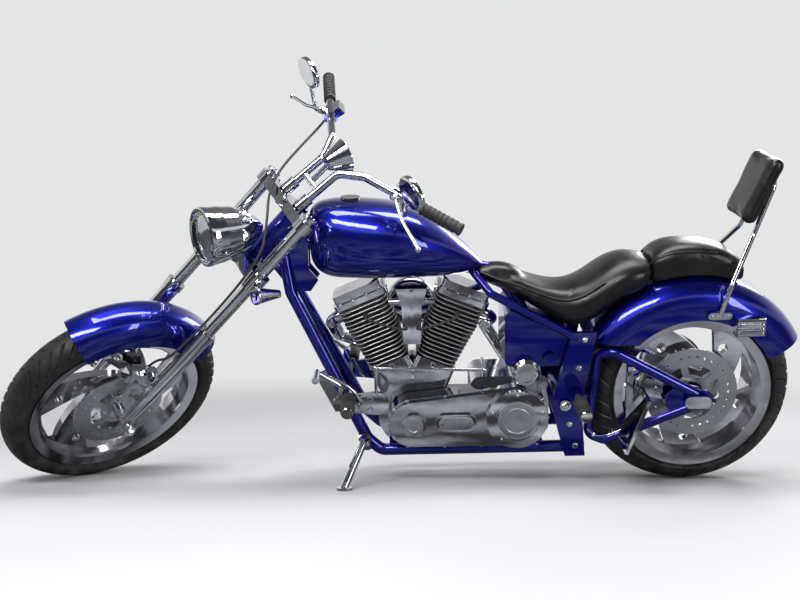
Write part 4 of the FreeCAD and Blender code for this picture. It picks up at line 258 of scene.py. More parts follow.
# %% Shared effects
def effect(name, inputs, outputs):
    """A node group that reads a place and numbers, with its input sockets and its output node."""
    group = bpy.data.node_groups.new(name, "ShaderNodeTree")
    group.interface.new_socket(name="Place", in_out="INPUT", socket_type="NodeSocketVector")
    for socket, value in inputs.items():
        added = group.interface.new_socket(name=socket, in_out="INPUT", socket_type="NodeSocketFloat")
        added.default_value = value
    for socket in outputs:
        group.interface.new_socket(name=socket, in_out="OUTPUT", socket_type="NodeSocketFloat")
    return group, group.nodes.new("NodeGroupInput").outputs, group.nodes.new("NodeGroupOutput")

def hand_out(group, result, **values):
    for socket, value in values.items():
        group.links.new(value, result.inputs[socket])

def noise(tree, place, scale, detail=5.0, roughness=0.6):
    return new_node(tree, "TexNoise", {"Vector": place, "Scale": scale, "Detail": detail,
                                       "Roughness": roughness}).outputs[0]

GRAIN, given, result = effect("fine_grain", {"Scale": 900.0}, ["Height", "Mask"])
cells = new_node(GRAIN, "TexVoronoi", {"Vector": given["Place"], "Scale": given["Scale"]})
patches = between(GRAIN, noise(GRAIN, given["Place"], 14.0), 0.38, 0.62)
hand_out(GRAIN, result, Height=cells.outputs["Distance"], Mask=patches)

POLISH, given, result = effect("polish_marks", {"Scale": 60.0}, ["Height", "Mask"])
drawn = new_node(POLISH, "VectorMath", {0: given["Place"], 1: (1.0, 7.0, 5.0)}, operation="MULTIPLY")
waves = noise(POLISH, given["Place"], 11.0, 2.0, 0.4)
scratches = reckon(POLISH, "MULTIPLY", noise(POLISH, drawn.outputs[0], given["Scale"], 6.0, 0.7), 0.03)
smears = between(POLISH, noise(POLISH, given["Place"], 7.0, 5.0, 0.65), 0.42, 0.68)
hand_out(POLISH, result, Height=reckon(POLISH, "ADD", waves, scratches), Mask=smears)

FLAKE, given, result = effect("metal_flake", {"Scale": 1800.0}, ["Height", "Mask"])
flakes = new_node(FLAKE, "TexVoronoi", {"Vector": given["Place"], "Scale": given["Scale"]})
sparkle = new_node(FLAKE, "SeparateXYZ", {0: flakes.outputs["Color"]}).outputs["X"]
ripple = noise(FLAKE, given["Place"], 260.0, 2.0)
hand_out(FLAKE, result, Height=ripple, Mask=between(FLAKE, sparkle, 0.1, 1.0))

WEAR, given, result = effect("edge_nibbles", {"Scale": 40.0}, ["Mask"])
small = between(WEAR, noise(WEAR, given["Place"], given["Scale"], 8.0, 0.75), 0.60, 0.68)
broad = between(WEAR, noise(WEAR, given["Place"], 6.0, 3.0), 0.45, 0.60)
hand_out(WEAR, result, Mask=times(WEAR, small, broad))

DUST, given, result = effect("low_dust", {"Reach": 0.35}, ["Mask"])
tall = new_node(DUST, "SeparateXYZ", {0: given["Place"]}).outputs["Z"]
low = reckon(DUST, "SUBTRACT", 1.0, reckon(DUST, "DIVIDE", tall, given["Reach"]), clamp=True)
patches = between(DUST, noise(DUST, given["Place"], 18.0, 6.0, 0.7), 0.40, 0.75)
hand_out(DUST, result, Mask=times(DUST, low, patches))
print("effects", [group.name for group in bpy.data.node_groups])

# %% [markdown]
# One maker builds each finish from the same few ideas: a main colour and a second one mixed in by a mask, a
# roughness that wanders between two values, a bump from one of the effects, nibbled wear in a third colour
# and dust low down. What differs is the numbers, as it does at the paint shop and at the polisher's.

# %% A finish from its numbers
DUST_COLOUR = (0.30, 0.29, 0.27, 1)

def finish(name, colour, second, roughness, metallic=0.0, bump=(GRAIN, 900.0, 0.0), dust=0.2, wear=None,
           **plain):
    """A material from two colours, two roughnesses, a bump of (effect, scale, height) and its wear."""
    pattern, scale, height = bump
    material = bpy.data.materials.new(name)
    tree = node_tree(material)
    place = own_place(tree)
    marks = new_node(tree, "Group", {"Scale": scale, "Place": place}, node_tree=pattern).outputs
    dusty = times(tree, new_node(tree, "Group", {"Place": place}, node_tree=DUST).outputs["Mask"], dust)
    tint = blend_colours(tree, marks["Mask"], (*colour, 1), (*second, 1))
    if wear:
        worn = new_node(tree, "Group", {"Place": place}, node_tree=WEAR).outputs["Mask"]
        tint = blend_colours(tree, times(tree, worn, wear[1]), tint, (*wear[0], 1))
    tint = blend_colours(tree, dusty, tint, DUST_COLOUR)
    rough = reckon(tree, "ADD", between(tree, marks["Mask"], 0.0, 1.0, *roughness), dusty, clamp=True)
    shader = new_node(tree, "BsdfPrincipled", {"Base Color": tint, "Roughness": rough, "Metallic": metallic})
    for socket, value in plain.items():
        shader.inputs[socket.replace("_", " ")].default_value = value
    if height:
        relief = new_node(tree, "Bump", {"Height": marks["Height"], "Strength": 1.0, "Distance": height})
        tree.links.new(relief.outputs[0], shader.inputs["Normal"])
    new_node(tree, "OutputMaterial", {"Surface": shader.outputs[0]})
    return material

FINISH = {
    "blue_paint": finish("deep_blue_paint", (0.0015, 0.004, 0.17), (0.003, 0.010, 0.34), (0.24, 0.36), 0.88,
                         (FLAKE, 1800.0, 0.00001), 0.04, Coat_Weight=1.0, Coat_Roughness=0.02, Coat_IOR=1.5),
    "chrome": finish("bright_chrome", (0.72, 0.73, 0.75), (0.62, 0.63, 0.66), (0.03, 0.08), 1.0,
                     (POLISH, 60.0, 0.0006), 0.12),
    "polished_alloy": finish("polished_alloy_hand", (0.66, 0.66, 0.68), (0.52, 0.52, 0.54), (0.05, 0.14), 1.0,
                             (POLISH, 80.0, 0.0014), 0.14),
    "alloy_casting": finish("cast_alloy", (0.36, 0.37, 0.39), (0.26, 0.27, 0.29), (0.36, 0.50), 1.0,
                            (GRAIN, 420.0, 0.00035), 0.3),
    "black_fins": finish("fin_black", (0.016, 0.016, 0.018), (0.034, 0.033, 0.032), (0.32, 0.50), 0.0,
                         (GRAIN, 700.0, 0.00015), 0.2, ((0.30, 0.30, 0.31), 0.35)),
    "tyre_black": finish("tyre_rubber", (0.006, 0.006, 0.0065), (0.012, 0.0117, 0.0115), (0.46, 0.62), 0.0,
                         (GRAIN, 1100.0, 0.0002), 0.25),
    "rubber_black": finish("moulded_rubber", (0.018, 0.018, 0.019), (0.028, 0.028, 0.028), (0.48, 0.64), 0.0,
                           (GRAIN, 1300.0, 0.0002), 0.25),
    "black_leather": finish("seat_leather", (0.005, 0.005, 0.0055), (0.009, 0.0088, 0.0085), (0.26, 0.36), 0.0,
                            (GRAIN, 620.0, 0.00010), 0.0, Specular_IOR_Level=0.36),
    "disc_steel": finish("ground_steel", (0.62, 0.63, 0.65), (0.52, 0.53, 0.55), (0.30, 0.38), 1.0,
                         (POLISH, 140.0, 0.0006), 0.12),
    "black_steel": finish("gloss_black", (0.010, 0.010, 0.012), (0.017, 0.017, 0.019), (0.12, 0.22), 0.0,
                          (GRAIN, 900.0, 0.0), 0.15, Coat_Weight=0.5),
}
for part in frame["record"]["subparts"]:
    node = nodes[part["node"]]
    node.data.materials.clear()
    node.data.materials.append(FINISH[part["material_slot"]])
print("finishes", sorted(FINISH))

# %% [markdown]
# Most fittings here are turned on a lathe or cut from plate, and Blender's edit mode can follow the same
# moves. A turned piece starts as one ring and is drawn out ring by ring: extrude, then scale. A plate starts
# as a flat outline that is extruded. Faces are then picked in code by where they lie, as one would pick them
# by hand, and inset or pushed.

# %% Selecting, turning and picking faces
NO_RADIUS, SAME_PLACE = 0.00001, 0.00003

def clear():
    if bpy.context.object and bpy.context.object.mode != "OBJECT":
        bpy.ops.object.mode_set(mode="OBJECT")
    bpy.ops.object.select_all(action="DESELECT")

def only(piece):
    clear()
    piece.select_set(True)
    bpy.context.view_layer.objects.active = piece

def edit_all():
    """Opens the active piece in edit mode with all of it selected."""
    bpy.ops.object.mode_set(mode="EDIT")
    bpy.ops.mesh.select_all(action="SELECT")

def closed_up(piece, angle=35.0):
    """Merges doubles, points every face outwards and smooths what turns by less than an angle."""
    bpy.ops.mesh.select_all(action="SELECT")
    bpy.ops.mesh.remove_doubles(threshold=SAME_PLACE)
    bpy.ops.mesh.normals_make_consistent(inside=False)
    bpy.ops.object.mode_set(mode="OBJECT")
    only(piece)
    bpy.ops.object.shade_smooth_by_angle(angle=math.radians(angle))
    return piece

def turned(rings, sides=48, angle=35.0):
    """Draws a turned piece along z from (radius, height) rings in millimetres."""
    clear()
    radius, height = max(rings[0][0] / 1000, NO_RADIUS), rings[0][1] / 1000
    bpy.ops.mesh.primitive_circle_add(vertices=sides, radius=radius, enter_editmode=True)
    bpy.ops.mesh.select_all(action="SELECT")
    bpy.ops.transform.translate(value=(0, 0, height))
    for ring in rings[1:]:
        wide, high = max(ring[0] / 1000, NO_RADIUS), ring[1] / 1000
        bpy.ops.mesh.extrude_edges_move(TRANSFORM_OT_translate={"value": (0, 0, high - height)})
        bpy.ops.transform.resize(value=(wide / radius, wide / radius, 1), center_override=(0, 0, high))
        radius, height = wide, high
    return closed_up(bpy.context.object, angle)

def choose(piece, test):
    """Picks the faces that pass a test, in edit mode."""
    bpy.ops.mesh.select_mode(type="FACE")
    bpy.ops.mesh.select_all(action="DESELECT")
    mesh = bmesh.from_edit_mesh(piece.data)
    for face in mesh.faces:
        if test(face.calc_center_median(), face.normal):
            face.select_set(True)
    bmesh.update_edit_mesh(piece.data)

def inset_faces(piece, test, *moves, angle=35.0, **how):
    """Picks faces, insets them once for each (thickness, depth) in metres, and closes the piece up."""
    bpy.ops.object.mode_set(mode="EDIT")
    choose(piece, test)
    for thickness, depth in moves:
        bpy.ops.mesh.inset(thickness=thickness, depth=depth, **how)
    return closed_up(piece, angle)

def outline_plate(points, thickness, rounding=0.0, rounds=3):
    """A flat outline of (x, y) millimetres, extruded along z and eased along its edges."""
    clear()
    bpy.ops.mesh.primitive_circle_add(vertices=len(points), radius=1, fill_type="NGON")
    piece = bpy.context.object
    for vertex, (x, y) in zip(piece.data.vertices, points):
        vertex.co = (x / 1000, y / 1000, 0)
    edit_all()
    bpy.ops.mesh.extrude_region_move(TRANSFORM_OT_translate={"value": (0, 0, thickness / 1000)})
    if rounding:
        bpy.ops.mesh.select_all(action="SELECT")
        bpy.ops.mesh.bevel(offset=rounding / 1000, segments=rounds, affect="EDGES")
    return closed_up(piece)

print("points nearer than", SAME_PLACE * 1000, "mm are merged")

# %% [markdown]
# A finished piece has to have its place in its own mesh, because its object stays at the origin, and what
# repeats is modelled once and copied. Fitting a piece names it, paints it and says which body it rides on.

# %% Placing, copying and fitting
def with_modifier(piece, kind, **settings):
    only(piece)
    modifier = piece.modifiers.new(kind.lower(), kind)
    for key, value in settings.items():
        setattr(modifier, key, value)
    bpy.ops.object.modifier_apply(modifier=modifier.name)
    return piece

def put(piece, matrix):
    """Moves a piece into its place in the mesh itself, so that its object stays at the origin."""
    piece.data.transform(matrix @ piece.matrix_world)
    piece.matrix_world = Matrix.Identity(4)
    return piece

def joined(pieces):
    """Joins pieces into the first of them."""
    clear()
    for piece in pieces:
        piece.select_set(True)
    bpy.context.view_layer.objects.active = pieces[0]
    if len(pieces) > 1:
        bpy.ops.object.join()
    return bpy.context.object

def copies(piece, places):
    """One copy of a piece with its own mesh at each place, joined into a single object."""
    made = []
    for matrix in places:
        copy = piece.copy()
        copy.data = piece.data.copy()
        scene.collection.objects.link(copy)
        made.append(put(copy, matrix))
    bpy.data.objects.remove(piece)
    return joined(made)

def fit(piece, name, body, paint, stands_for=()):
    """Names a finished piece, paints it and lets it ride on its body."""
    clear()
    piece.name = piece.data.name = name
    piece.data.materials.clear()
    piece.data.materials.append(FINISH[paint] if isinstance(paint, str) else paint)
    for polygon in piece.data.polygons:
        polygon.material_index = 0
    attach(piece, body)
    if stands_for:
        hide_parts(*stands_for)
    print(name, len(piece.data.polygons), "faces")
    return piece

def chromed(piece, places, name, body="chassis"):
    """Copies of a piece at its places, in chrome."""
    return fit(copies(piece, places), name, body, "chrome")

# %% [markdown]
# The rider's seat, the pillion pad and the backrest are leather over foam. A cushion is a crowned closed
# form that a plain solid can't show, so each one starts as a copy of its solid, remeshed to even little
# faces, and is blown up a touch as cloth with air inside. A lid on how far a point may move keeps it clear
# of its neighbours. The cloth is then applied, a few smoothing rounds ease its creases, and one subdivision
# rounds it. The rider's seat also has a rounded nose of foam that covers the frame's knee behind the tank.
# It is drawn as an egg over the seat's front, and the remeshing melts the two into one skin.

# %% Cushions
VOXEL, PRESSURE, CLOTH_FRAMES = 0.0055, 4.0, 20
NOSE_PLACE, NOSE_TILT, NOSE_SIZE = (0.606, 0, 0.715), -13, (0.080, 0.062, 0.036)

def nose_egg(piece):
    """Joins an egg of foam to the front of the rider's seat."""
    clear()
    bpy.ops.mesh.primitive_uv_sphere_add(segments=48, ring_count=24, radius=1.0)
    egg = bpy.context.object
    place = BIKE @ Matrix.Translation(NOSE_PLACE) @ Matrix.Rotation(math.radians(NOSE_TILT), 4, "Y")
    put(egg, place @ Matrix.Diagonal((*NOSE_SIZE, 1.0)))
    joined([piece, egg])

def swell(piece, reach):
    """Blows a cushion up as cloth and holds every point within its reach."""
    start = [vertex.co.copy() for vertex in piece.data.vertices]
    only(piece)
    cloth = piece.modifiers.new("cloth", "CLOTH")
    cloth.settings.use_pressure = True
    cloth.settings.uniform_pressure_force = PRESSURE
    cloth.settings.effector_weights.gravity = 0
    cloth.settings.quality = 5
    cloth.collision_settings.use_self_collision = False
    cloth.collision_settings.use_collision = False
    for step in range(1, CLOTH_FRAMES + 1):
        scene.frame_set(step)
    bpy.ops.object.modifier_apply(modifier=cloth.name)
    farthest = 0.0
    for vertex, before in zip(piece.data.vertices, start):
        moved = vertex.co - before
        farthest = max(farthest, moved.length)
        if moved.length > reach:
            vertex.co = before + moved.normalized() * reach
    scene.frame_set(1)
    print("swelled", piece.name, "by up to", round(farthest * 1000, 1), "mm")

def cushion(name, node, shrink, reach, smooth_rounds, after=4, more=None):
    """A leather cushion from its solid, drawn in by shrink and swelled by up to reach, in metres."""
    clear()
    piece = nodes[node].copy()
    piece.data = nodes[node].data.copy()
    piece.parent = None
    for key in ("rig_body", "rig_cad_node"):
        if key in piece:
            del piece[key]
    scene.collection.objects.link(piece)
    only(piece)
    edit_all()
    bpy.ops.mesh.remove_doubles(threshold=0.00005)
    bpy.ops.object.mode_set(mode="OBJECT")
    if more:
        more(piece)
    with_modifier(piece, "REMESH", mode="VOXEL", voxel_size=VOXEL)
    with_modifier(piece, "SMOOTH", factor=0.5, iterations=smooth_rounds)
    with_modifier(piece, "DISPLACE", strength=-shrink, mid_level=0.0)
    swell(piece, reach)
    with_modifier(piece, "SMOOTH", factor=0.5, iterations=after)
    with_modifier(piece, "SUBSURF", levels=1, render_levels=1)
    bpy.ops.object.shade_smooth()
    return fit(piece, name, "chassis", "black_leather", stands_for=[node])

rider_seat = cushion("rider_cushion", "rider_seat", 0.004, 0.006, 12, more=nose_egg)
pillion = cushion("pillion_cushion", "pillion_pad", 0.003, 0.005, 3)
cushion("backrest_cushion", "backrest_pad", 0.003, 0.004, 5, after=10)

# %% [markdown]
# Leather is cut in panels, and a bead of piping is sewn in where the top panel meets the side. On these
# cushions the bead follows the shoulder, where the surface has turned outwards by some fifty degrees.
# At each station along the pad the shoulder is simply the point that reaches farthest in that slanting
# direction. The stations are evened out, and a thin bead is swept along them.

# %% Piping along the shoulders
STATION_REACH, PIPING_RADIUS = 0.008, 0.0036

def shoulder(piece, stations, lean, evening):
    """The farthest point of a cushion at each station in a direction up and to one side, in metres."""
    turn = math.radians(abs(lean))
    slant = Vector((0, math.copysign(math.sin(turn), lean), math.cos(turn)))
    inverse = BIKE.inverted()
    points = [inverse @ vertex.co for vertex in piece.data.vertices]
    found = []
    for station in stations:
        near = [point for point in points if abs(point.x - station) < STATION_REACH]
        if near:
            best = max(near, key=lambda point: point.dot(slant))
            found.append(Vector((station, best.y, best.z)))
    for _ in range(evening):
        middle = [(found[k - 1] + found[k] * 2 + found[k + 1]) / 4 for k in range(1, len(found) - 1)]
        found = [found[0], *middle, found[-1]]
    return found

def smooth_line(name, points, base, radius, around, along):
    """One smooth curve along points of a frame, in metres, with a round section."""
    clear()
    data = bpy.data.curves.new(name, "CURVE")
    data.dimensions, data.bevel_depth, data.bevel_resolution, data.resolution_u = "3D", radius, around, along
    data.use_fill_caps = True
    spline = data.splines.new("NURBS")
    spline.points.add(len(points) - 1)
    for control, point in zip(spline.points, points):
        control.co = (*(base @ Vector(point)), 1.0)
    spline.order_u = 3
    spline.use_endpoint_u = True
    piece = bpy.data.objects.new(name, data)
    scene.collection.objects.link(piece)
    return piece

def bead(name, points, radius, paint):
    """A round bead along points of the machine's frame, as a mesh tube."""
    only(smooth_line(name, points, BIKE, radius, 3, 3))
    bpy.ops.object.convert(target="MESH")
    edit_all()
    return fit(closed_up(bpy.context.object, 60), name, "chassis", paint)

def steps(first, last, count):
    return [first + (last - first) * index / (count - 1) for index in range(count)]

for name, piece, stations, lean, evening in (("rider", rider_seat, steps(0.668, 0.290, 40), 52, 10),
                                             ("pillion", pillion, steps(0.262, -0.055, 26), 50, 6)):
    for side_name, sign in (("left", 1), ("right", -1)):
        line = shoulder(piece, stations, sign * lean, evening)
        bead(f"{name}_piping_{side_name}", line, PIPING_RADIUS, "black_leather")

# %% [markdown]
# A tyre could be a plain ring with a pattern painted on, but its grooves catch the light at the shoulders,
# and its outline should show them. The section is drawn once, as the crown's arc and a bulging flank, and
# spun round the axle. Each ring of points is then turned a little further the farther it lies from the
# middle, so the columns of faces lean like real grooves. Every third column of the front tyre and every
# fourth of the broad rear one is then inset and pushed in.

# %% Tyres with leaning grooves
COLUMNS, FLANK_STEPS, LEAN_POWER = 150, 6, 1.4
GROOVES_FROM, GROOVES_TO, LIP_CLEAR = 0.14, 0.97, 12

def tyre_section(radius, crown, tread_half, lip, lip_half, points):
    """Half the outer section as (radius, side) millimetres, from the middle of the tread to the rim."""
    most = math.asin(tread_half / crown)
    rows = [(radius - crown + crown * math.cos(most * step / points), crown * math.sin(most * step / points))
            for step in range(points + 1)]
    start_r, start_s = rows[-1]
    end_r, end_s = lip + 4, lip_half - 7.3
    normal = (-math.cos(most), -math.sin(most))
    chord = (end_r - start_r, end_s - start_s)
    bulge = (chord[0] ** 2 + chord[1] ** 2) / (2 * (chord[0] * normal[0] + chord[1] * normal[1]))
    centre = (start_r + normal[0] * bulge, start_s + normal[1] * bulge)
    first = math.atan2(start_s - centre[1], start_r - centre[0])
    last = math.atan2(end_s - centre[1], end_r - centre[0])
    for step in range(1, FLANK_STEPS + 1):
        turn = first + (last - first) * step / FLANK_STEPS
        rows.append((centre[0] + abs(bulge) * math.cos(turn), centre[1] + abs(bulge) * math.sin(turn)))
    return rows

def tyre(end, wheel, size, every, lean, groove, tread_rows):
    """A grooved tyre from its (radius, crown, half tread, lip, half lip), with its groove, in millimetres."""
    radius, crown, tread_half, lip, lip_half = size
    half = tyre_section(*size, tread_rows)
    rings = [(r, -s) for r, s in half[::-1]] + half[1:]
    rings += [(lip, half[-1][1]), (lip, -half[-1][1]), rings[0]]
    piece = turned(rings, sides=COLUMNS, angle=50)
    only(piece)

    def lean_at(z):
        return math.radians(lean) * min(1.0, abs(z) * 1000 / tread_half) ** LEAN_POWER

    for vertex in piece.data.vertices:
        x, y, turn = vertex.co.x, vertex.co.y, lean_at(vertex.co.z)
        vertex.co.x = x * math.cos(turn) - y * math.sin(turn)
        vertex.co.y = x * math.sin(turn) + y * math.cos(turn)
    low, high = tread_half * GROOVES_FROM / 1000, tread_half * GROOVES_TO / 1000

    def in_groove(centre, normal):
        if not low < abs(centre.z) < high or centre.xy.length < (lip + LIP_CLEAR) / 1000:
            return False
        turn = math.atan2(centre.y, centre.x) - lean_at(centre.z)
        column = math.floor(turn / (2 * math.pi / COLUMNS) + 1000)
        return (column + (every // 2 if centre.z > 0 else 0)) % every == 0

    cut = (groove[0] / 1000, -groove[1] / 1000)
    inset_faces(piece, in_groove, cut, angle=40, use_even_offset=True)
    put(piece, stood(wheel, (0, 0, 0), (0, 1, 0)))
    return fit(piece, end + "_tyre_tread", end + "_wheel", "tyre_black", stands_for=[end + "_tyre"])

tyre("front", FRONT_WHEEL, (350, 62, 54, 276, 46), 3, 9.0, (4.6, 4.0), 7)
tyre("rear", REAR_WHEEL, (332, 125.5, 112, 249, 106), 4, 12.0, (4.0, 4.0), 9)

# %% [markdown]
# An air-cooled barrel is cast with many thin fins, painted black and then machined, so that every rim shines
# against the dark gaps. The frame carries the thick black fins. A thin machined rim goes round each of them,
# a frame-shaped plate a touch wider than its fin, so the gaps between stay deep and dark.

# %% Bright fin edges
def rounded(half_long, half_high, corner, around=6):
    """The outline of a plate with round corners, anticlockwise."""
    points = []
    for index, (x, y) in enumerate(((1, 1), (-1, 1), (-1, -1), (1, -1))):
        for part in range(around + 1):
            turn = math.radians(90 * index + 90 * part / around)
            points.append((x * (half_long - corner) + corner * math.cos(turn),
                           y * (half_high - corner) + corner * math.sin(turn)))
    return points

ENGINE_MIDDLE = Vector((0.885, 0, 0.262))

def cylinder_matrix(tilt):
    """A frame up the middle of a barrel that leans forward by tilt degrees."""
    turn = math.radians(tilt)
    along = Vector((math.sin(turn), 0, math.cos(turn)))
    across = Vector((math.cos(turn), 0, -math.sin(turn)))
    return BIKE @ axes(across, Vector((0, 1, 0)), along, ENGINE_MIDDLE)

def lifted(base, height):
    return base @ Matrix.Translation((0, 0, height / 1000))

MACHINED = finish("machined_rim", (0.62, 0.62, 0.63), (0.50, 0.50, 0.51), (0.30, 0.42), 0.75,
                  (POLISH, 90.0, 0.0), 0.10)

TILTS = (22.5, -22.5)
FIN_HALF_WIDE, FIN_CORNER, RIM_PROUD = 78, 34, 0.9
BARREL_START, BARREL_STEP, HEAD_START, HEAD_STEP = 196, 14.2, 338, 14.4

def fin_rims(height, half_long):
    """A fin's bright rim on both barrels: a plate with its middle inset and pulled in on both faces."""
    outline = rounded(half_long + RIM_PROUD, FIN_HALF_WIDE + RIM_PROUD, FIN_CORNER + RIM_PROUD)
    plate = outline_plate(outline, 2.6, 0.5, 1)
    inset_faces(plate, lambda centre, normal: abs(normal.z) > 0.9 and centre.xy.length < 0.02, (0.003, -0.001))
    return copies(plate, [lifted(cylinder_matrix(tilt), height) for tilt in TILTS])

fins = [fin_rims(BARREL_START + BARREL_STEP * (index + 0.5) + 0.7, 64 + 1.6 * index) for index in range(10)]
fins += [fin_rims(HEAD_START + HEAD_STEP * (index + 0.3) + 0.7, 80) for index in range(5)]
fit(joined(fins), "fin_edges", "chassis", MACHINED)

# %% [markdown]
# Every cover is held by something. Two kinds of fastening do for the whole machine: a socket screw with a
# round head and a recess, and a hexagon bolt on a washer. Each is turned once, and copies go wherever a
# cover has a rim or a plate has a joint. The places are worked out on circles and straight rows, because
# that is how a maker marks them out.

# %% Two fastenings and a circle of places
def socket_screw(radius, rise):
    return turned([(0, 0), (radius, 0), (radius, rise * 0.75), (radius * 0.86, rise), (radius * 0.55, rise),
                   (radius * 0.5, rise * 0.35), (0, rise * 0.35)], sides=20)

def hexagon_bolt(radius, rise):
    head = turned([(0, 0), (radius, 0), (radius, rise * 0.8), (radius * 0.86, rise), (0, rise)], sides=6,
                  angle=20)
    washer = turned([(0, -0.5), (radius * 1.35, -0.5), (radius * 1.35, 1.2), (radius * 1.2, 1.6), (0, 1.6)],
                    sides=28)
    return joined([head, washer])

def on_circle(base, centre, radius, count, facing=(0, 1, 0), start=0.0):
    """Places round a circle whose middle faces a direction, in millimetres."""
    spin = stood(base, centre, facing)
    made = []
    for index in range(count):
        turn = math.radians(start) + 2 * math.pi * index / count
        across = (radius / 1000 * math.cos(turn), radius / 1000 * math.sin(turn), 0)
        made.append(spin @ Matrix.Translation(across))
    return made

DERBY, CRANK = (560, 168.5, 280), (885, 138, 262)
chromed(socket_screw(4.6, 4), on_circle(BIKE, DERBY, 82, 5, start=18), "derby_screws")

# %% [markdown]
# The long cover of the primary drive has two round ends of different size, so its screws follow two arcs
# and the two straights between them. The rocker boxes have a row of bolts along each edge, and the pivot
# plates and the wheels' discs are bolted through.

# %% Screws and bolts on the engine, plates and discs
def along_arc(centre, radius, degrees):
    turns = [math.radians(degree) for degree in degrees]
    return [(centre[0] + radius * math.cos(turn), centre[2] + radius * math.sin(turn)) for turn in turns]

spots = along_arc(CRANK, 79, (75, 38, 0, -38, -75)) + along_arc(DERBY, 98, (110, 146, 182, 218, 254))
for share in (0.30, 0.66):
    x = CRANK[0] - (CRANK[0] - DERBY[0]) * share
    spots += [(x, 341 + 37 * share - 1), (x, 182 - share)]
places = [stood(BIKE, (x, CRANK[1], z)) for x, z in spots]
chromed(socket_screw(5.2, 6), places, "primary_screws")

ROCKER_TOP = 428
places = [stood(cylinder_matrix(tilt), (x, y, ROCKER_TOP), *UPRIGHT)
          for tilt in TILTS for x in (-66, -22, 22, 66) for y in (-57.5, 57.5)]
chromed(hexagon_bolt(4.2, 5), places, "rocker_bolts")

places = on_both_sides(BIKE, (352, 141, 534), (368, 141, 440), (392, 141, 250), (372, 141, 176))
chromed(hexagon_bolt(7, 6), places, "plate_bolts")
chromed(hexagon_bolt(13, 9), on_both_sides(BIKE, (408, 149.1, 318)), "pivot_nuts")

for end, wheel, face in (("front", FRONT_WHEEL, 61), ("rear", REAR_WHEEL, 95)):
    places = on_circle(wheel, (0, face, 0), 48, 5) + on_circle(wheel, (0, face, 0), 84, 5)
    chromed(socket_screw(5, 4), places, end + "_disc_screws", end + "_wheel")

places = on_both_sides(FRONT_WHEEL, (0, 159, 0))
chromed(hexagon_bolt(12, 10), places, "front_axle_nuts", "steering")

# %% [markdown]
# A lamp is a bright bowl behind clear glass in a rim. The bowl and the rim are turned pieces, the glass is a
# shallow dome with thickness, and its ribs are rings pushed out, as pressed glass has them. The lamps' own
# shells come with the frame, so these pieces sit in their mouths.

# %% Lamp glass and bowls
GLASS = bpy.data.materials.new("lamp_glass")
tree = node_tree(GLASS)
marks = new_node(tree, "Group", {"Place": own_place(tree)}, node_tree=POLISH)
haze = between(tree, marks.outputs["Mask"], 0.0, 1.0, 0.02, 0.10)
shader = new_node(tree, "BsdfPrincipled", {"Base Color": (0.95, 0.96, 0.97, 1), "Roughness": haze,
                                           "Transmission Weight": 1.0, "IOR": 1.45})
new_node(tree, "OutputMaterial", {"Surface": shader.outputs[0]})

MOUTH = stood(FORK, (226, 0, 645), (154, 0, -112))
HEADLAMP = {
    "bowl": ("chrome", 64, [(0, -46), (16, -45), (36, -39), (54, -29), (68, -16), (76, -5), (78.6, 0),
                            (78.6, -3), (75, -11), (60, -30), (38, -45), (16, -50), (0, -51)]),
    "rim": ("chrome", 96, [(79.3, -6), (79.3, 3), (82, 6), (86, 6.5), (89.5, 4), (90.5, 0), (90.5, -8),
                           (88.5, -9), (88.3, -4), (88.3, 0.4), (80, 0.4), (79.3, -6)]),
    "glass": (GLASS, 72, [(79, 0), (74, 4.5), (66, 8), (64, 7.6), (56, 10.4), (54, 10), (44, 12.6), (42, 12.2),
                          (30, 14.2), (28, 13.9), (14, 15), (0, 15.2), (0, 12), (14, 11.8), (40, 9.6), (60, 6),
                          (74, 1.5), (77, -1), (79, 0)]),
    "bulb_shield": ("chrome", 32, [(0, -40), (9, -40), (9, -22), (13, -18), (13, -14), (0, -10)]),
}
for name, (paint, sides, rings) in HEADLAMP.items():
    fit(put(turned(rings, sides), MOUTH), "headlamp_" + name, "steering", paint)

# %% [markdown]
# The mirrors and the dial are what a rider looks at, so they get faces of their own. The mirror's glass is
# an oval plate a little smaller than its shell: it is turned round and then squeezed in edit mode. The dial
# is a white disc with a ring of raised marks, a needle on a hub and a rolled bezel.

# %% Mirror glass and the dial
HALF_HIGH, HALF_WIDE = 57.5, 40.5
mirror_glass = turned([(0, 0), (56, 0), (HALF_HIGH, 1), (HALF_HIGH, 2.2), (56, 3), (0, 3)], sides=64)
edit_all()
bpy.ops.transform.resize(value=(HALF_WIDE / HALF_HIGH, 1, 1), center_override=(0, 0, 0))
closed_up(mirror_glass)
MIRROR_TILT, DIAL_LEAN = math.radians(43.5), math.radians(38)
mirror_back = Vector((-math.cos(MIRROR_TILT), 0, math.sin(MIRROR_TILT)))
places = [stood(FORK, Vector((41, y, 1172)) + mirror_back * 8.1, mirror_back, (0, 1, 0)) for y in (315, -315)]
chromed(mirror_glass, places, "mirror_glass", "steering")

dial_out = Vector((-math.sin(DIAL_LEAN), 0, math.cos(DIAL_LEAN)))
DIAL = stood(FORK, Vector((18, 0, 1066)) + dial_out * 22, dial_out, (1, 0, 0))
DIAL_WHITE = finish("dial_face", (0.75, 0.75, 0.73), (0.68, 0.68, 0.66), (0.4, 0.5), dust=0.0)
dial = turned([(0, 0), (49, 0), (49, 1.2), (47.5, 1.6), (0, 1.6)], sides=48)
fit(put(dial, DIAL), "dial_face", "steering", DIAL_WHITE)
mark = outline_plate([(-0.9, -5), (0.9, -5), (0.9, 5), (-0.9, 5)], 0.7)
MARK_SWEEP, LAST_MARK = 130, 12
turns = [math.radians(-MARK_SWEEP + 2 * MARK_SWEEP * index / LAST_MARK) for index in range(LAST_MARK + 1)]
places = [DIAL @ Matrix.Rotation(-turn, 4, "Z") @ Matrix.Translation((0, 0.038, 0.0016)) for turn in turns]
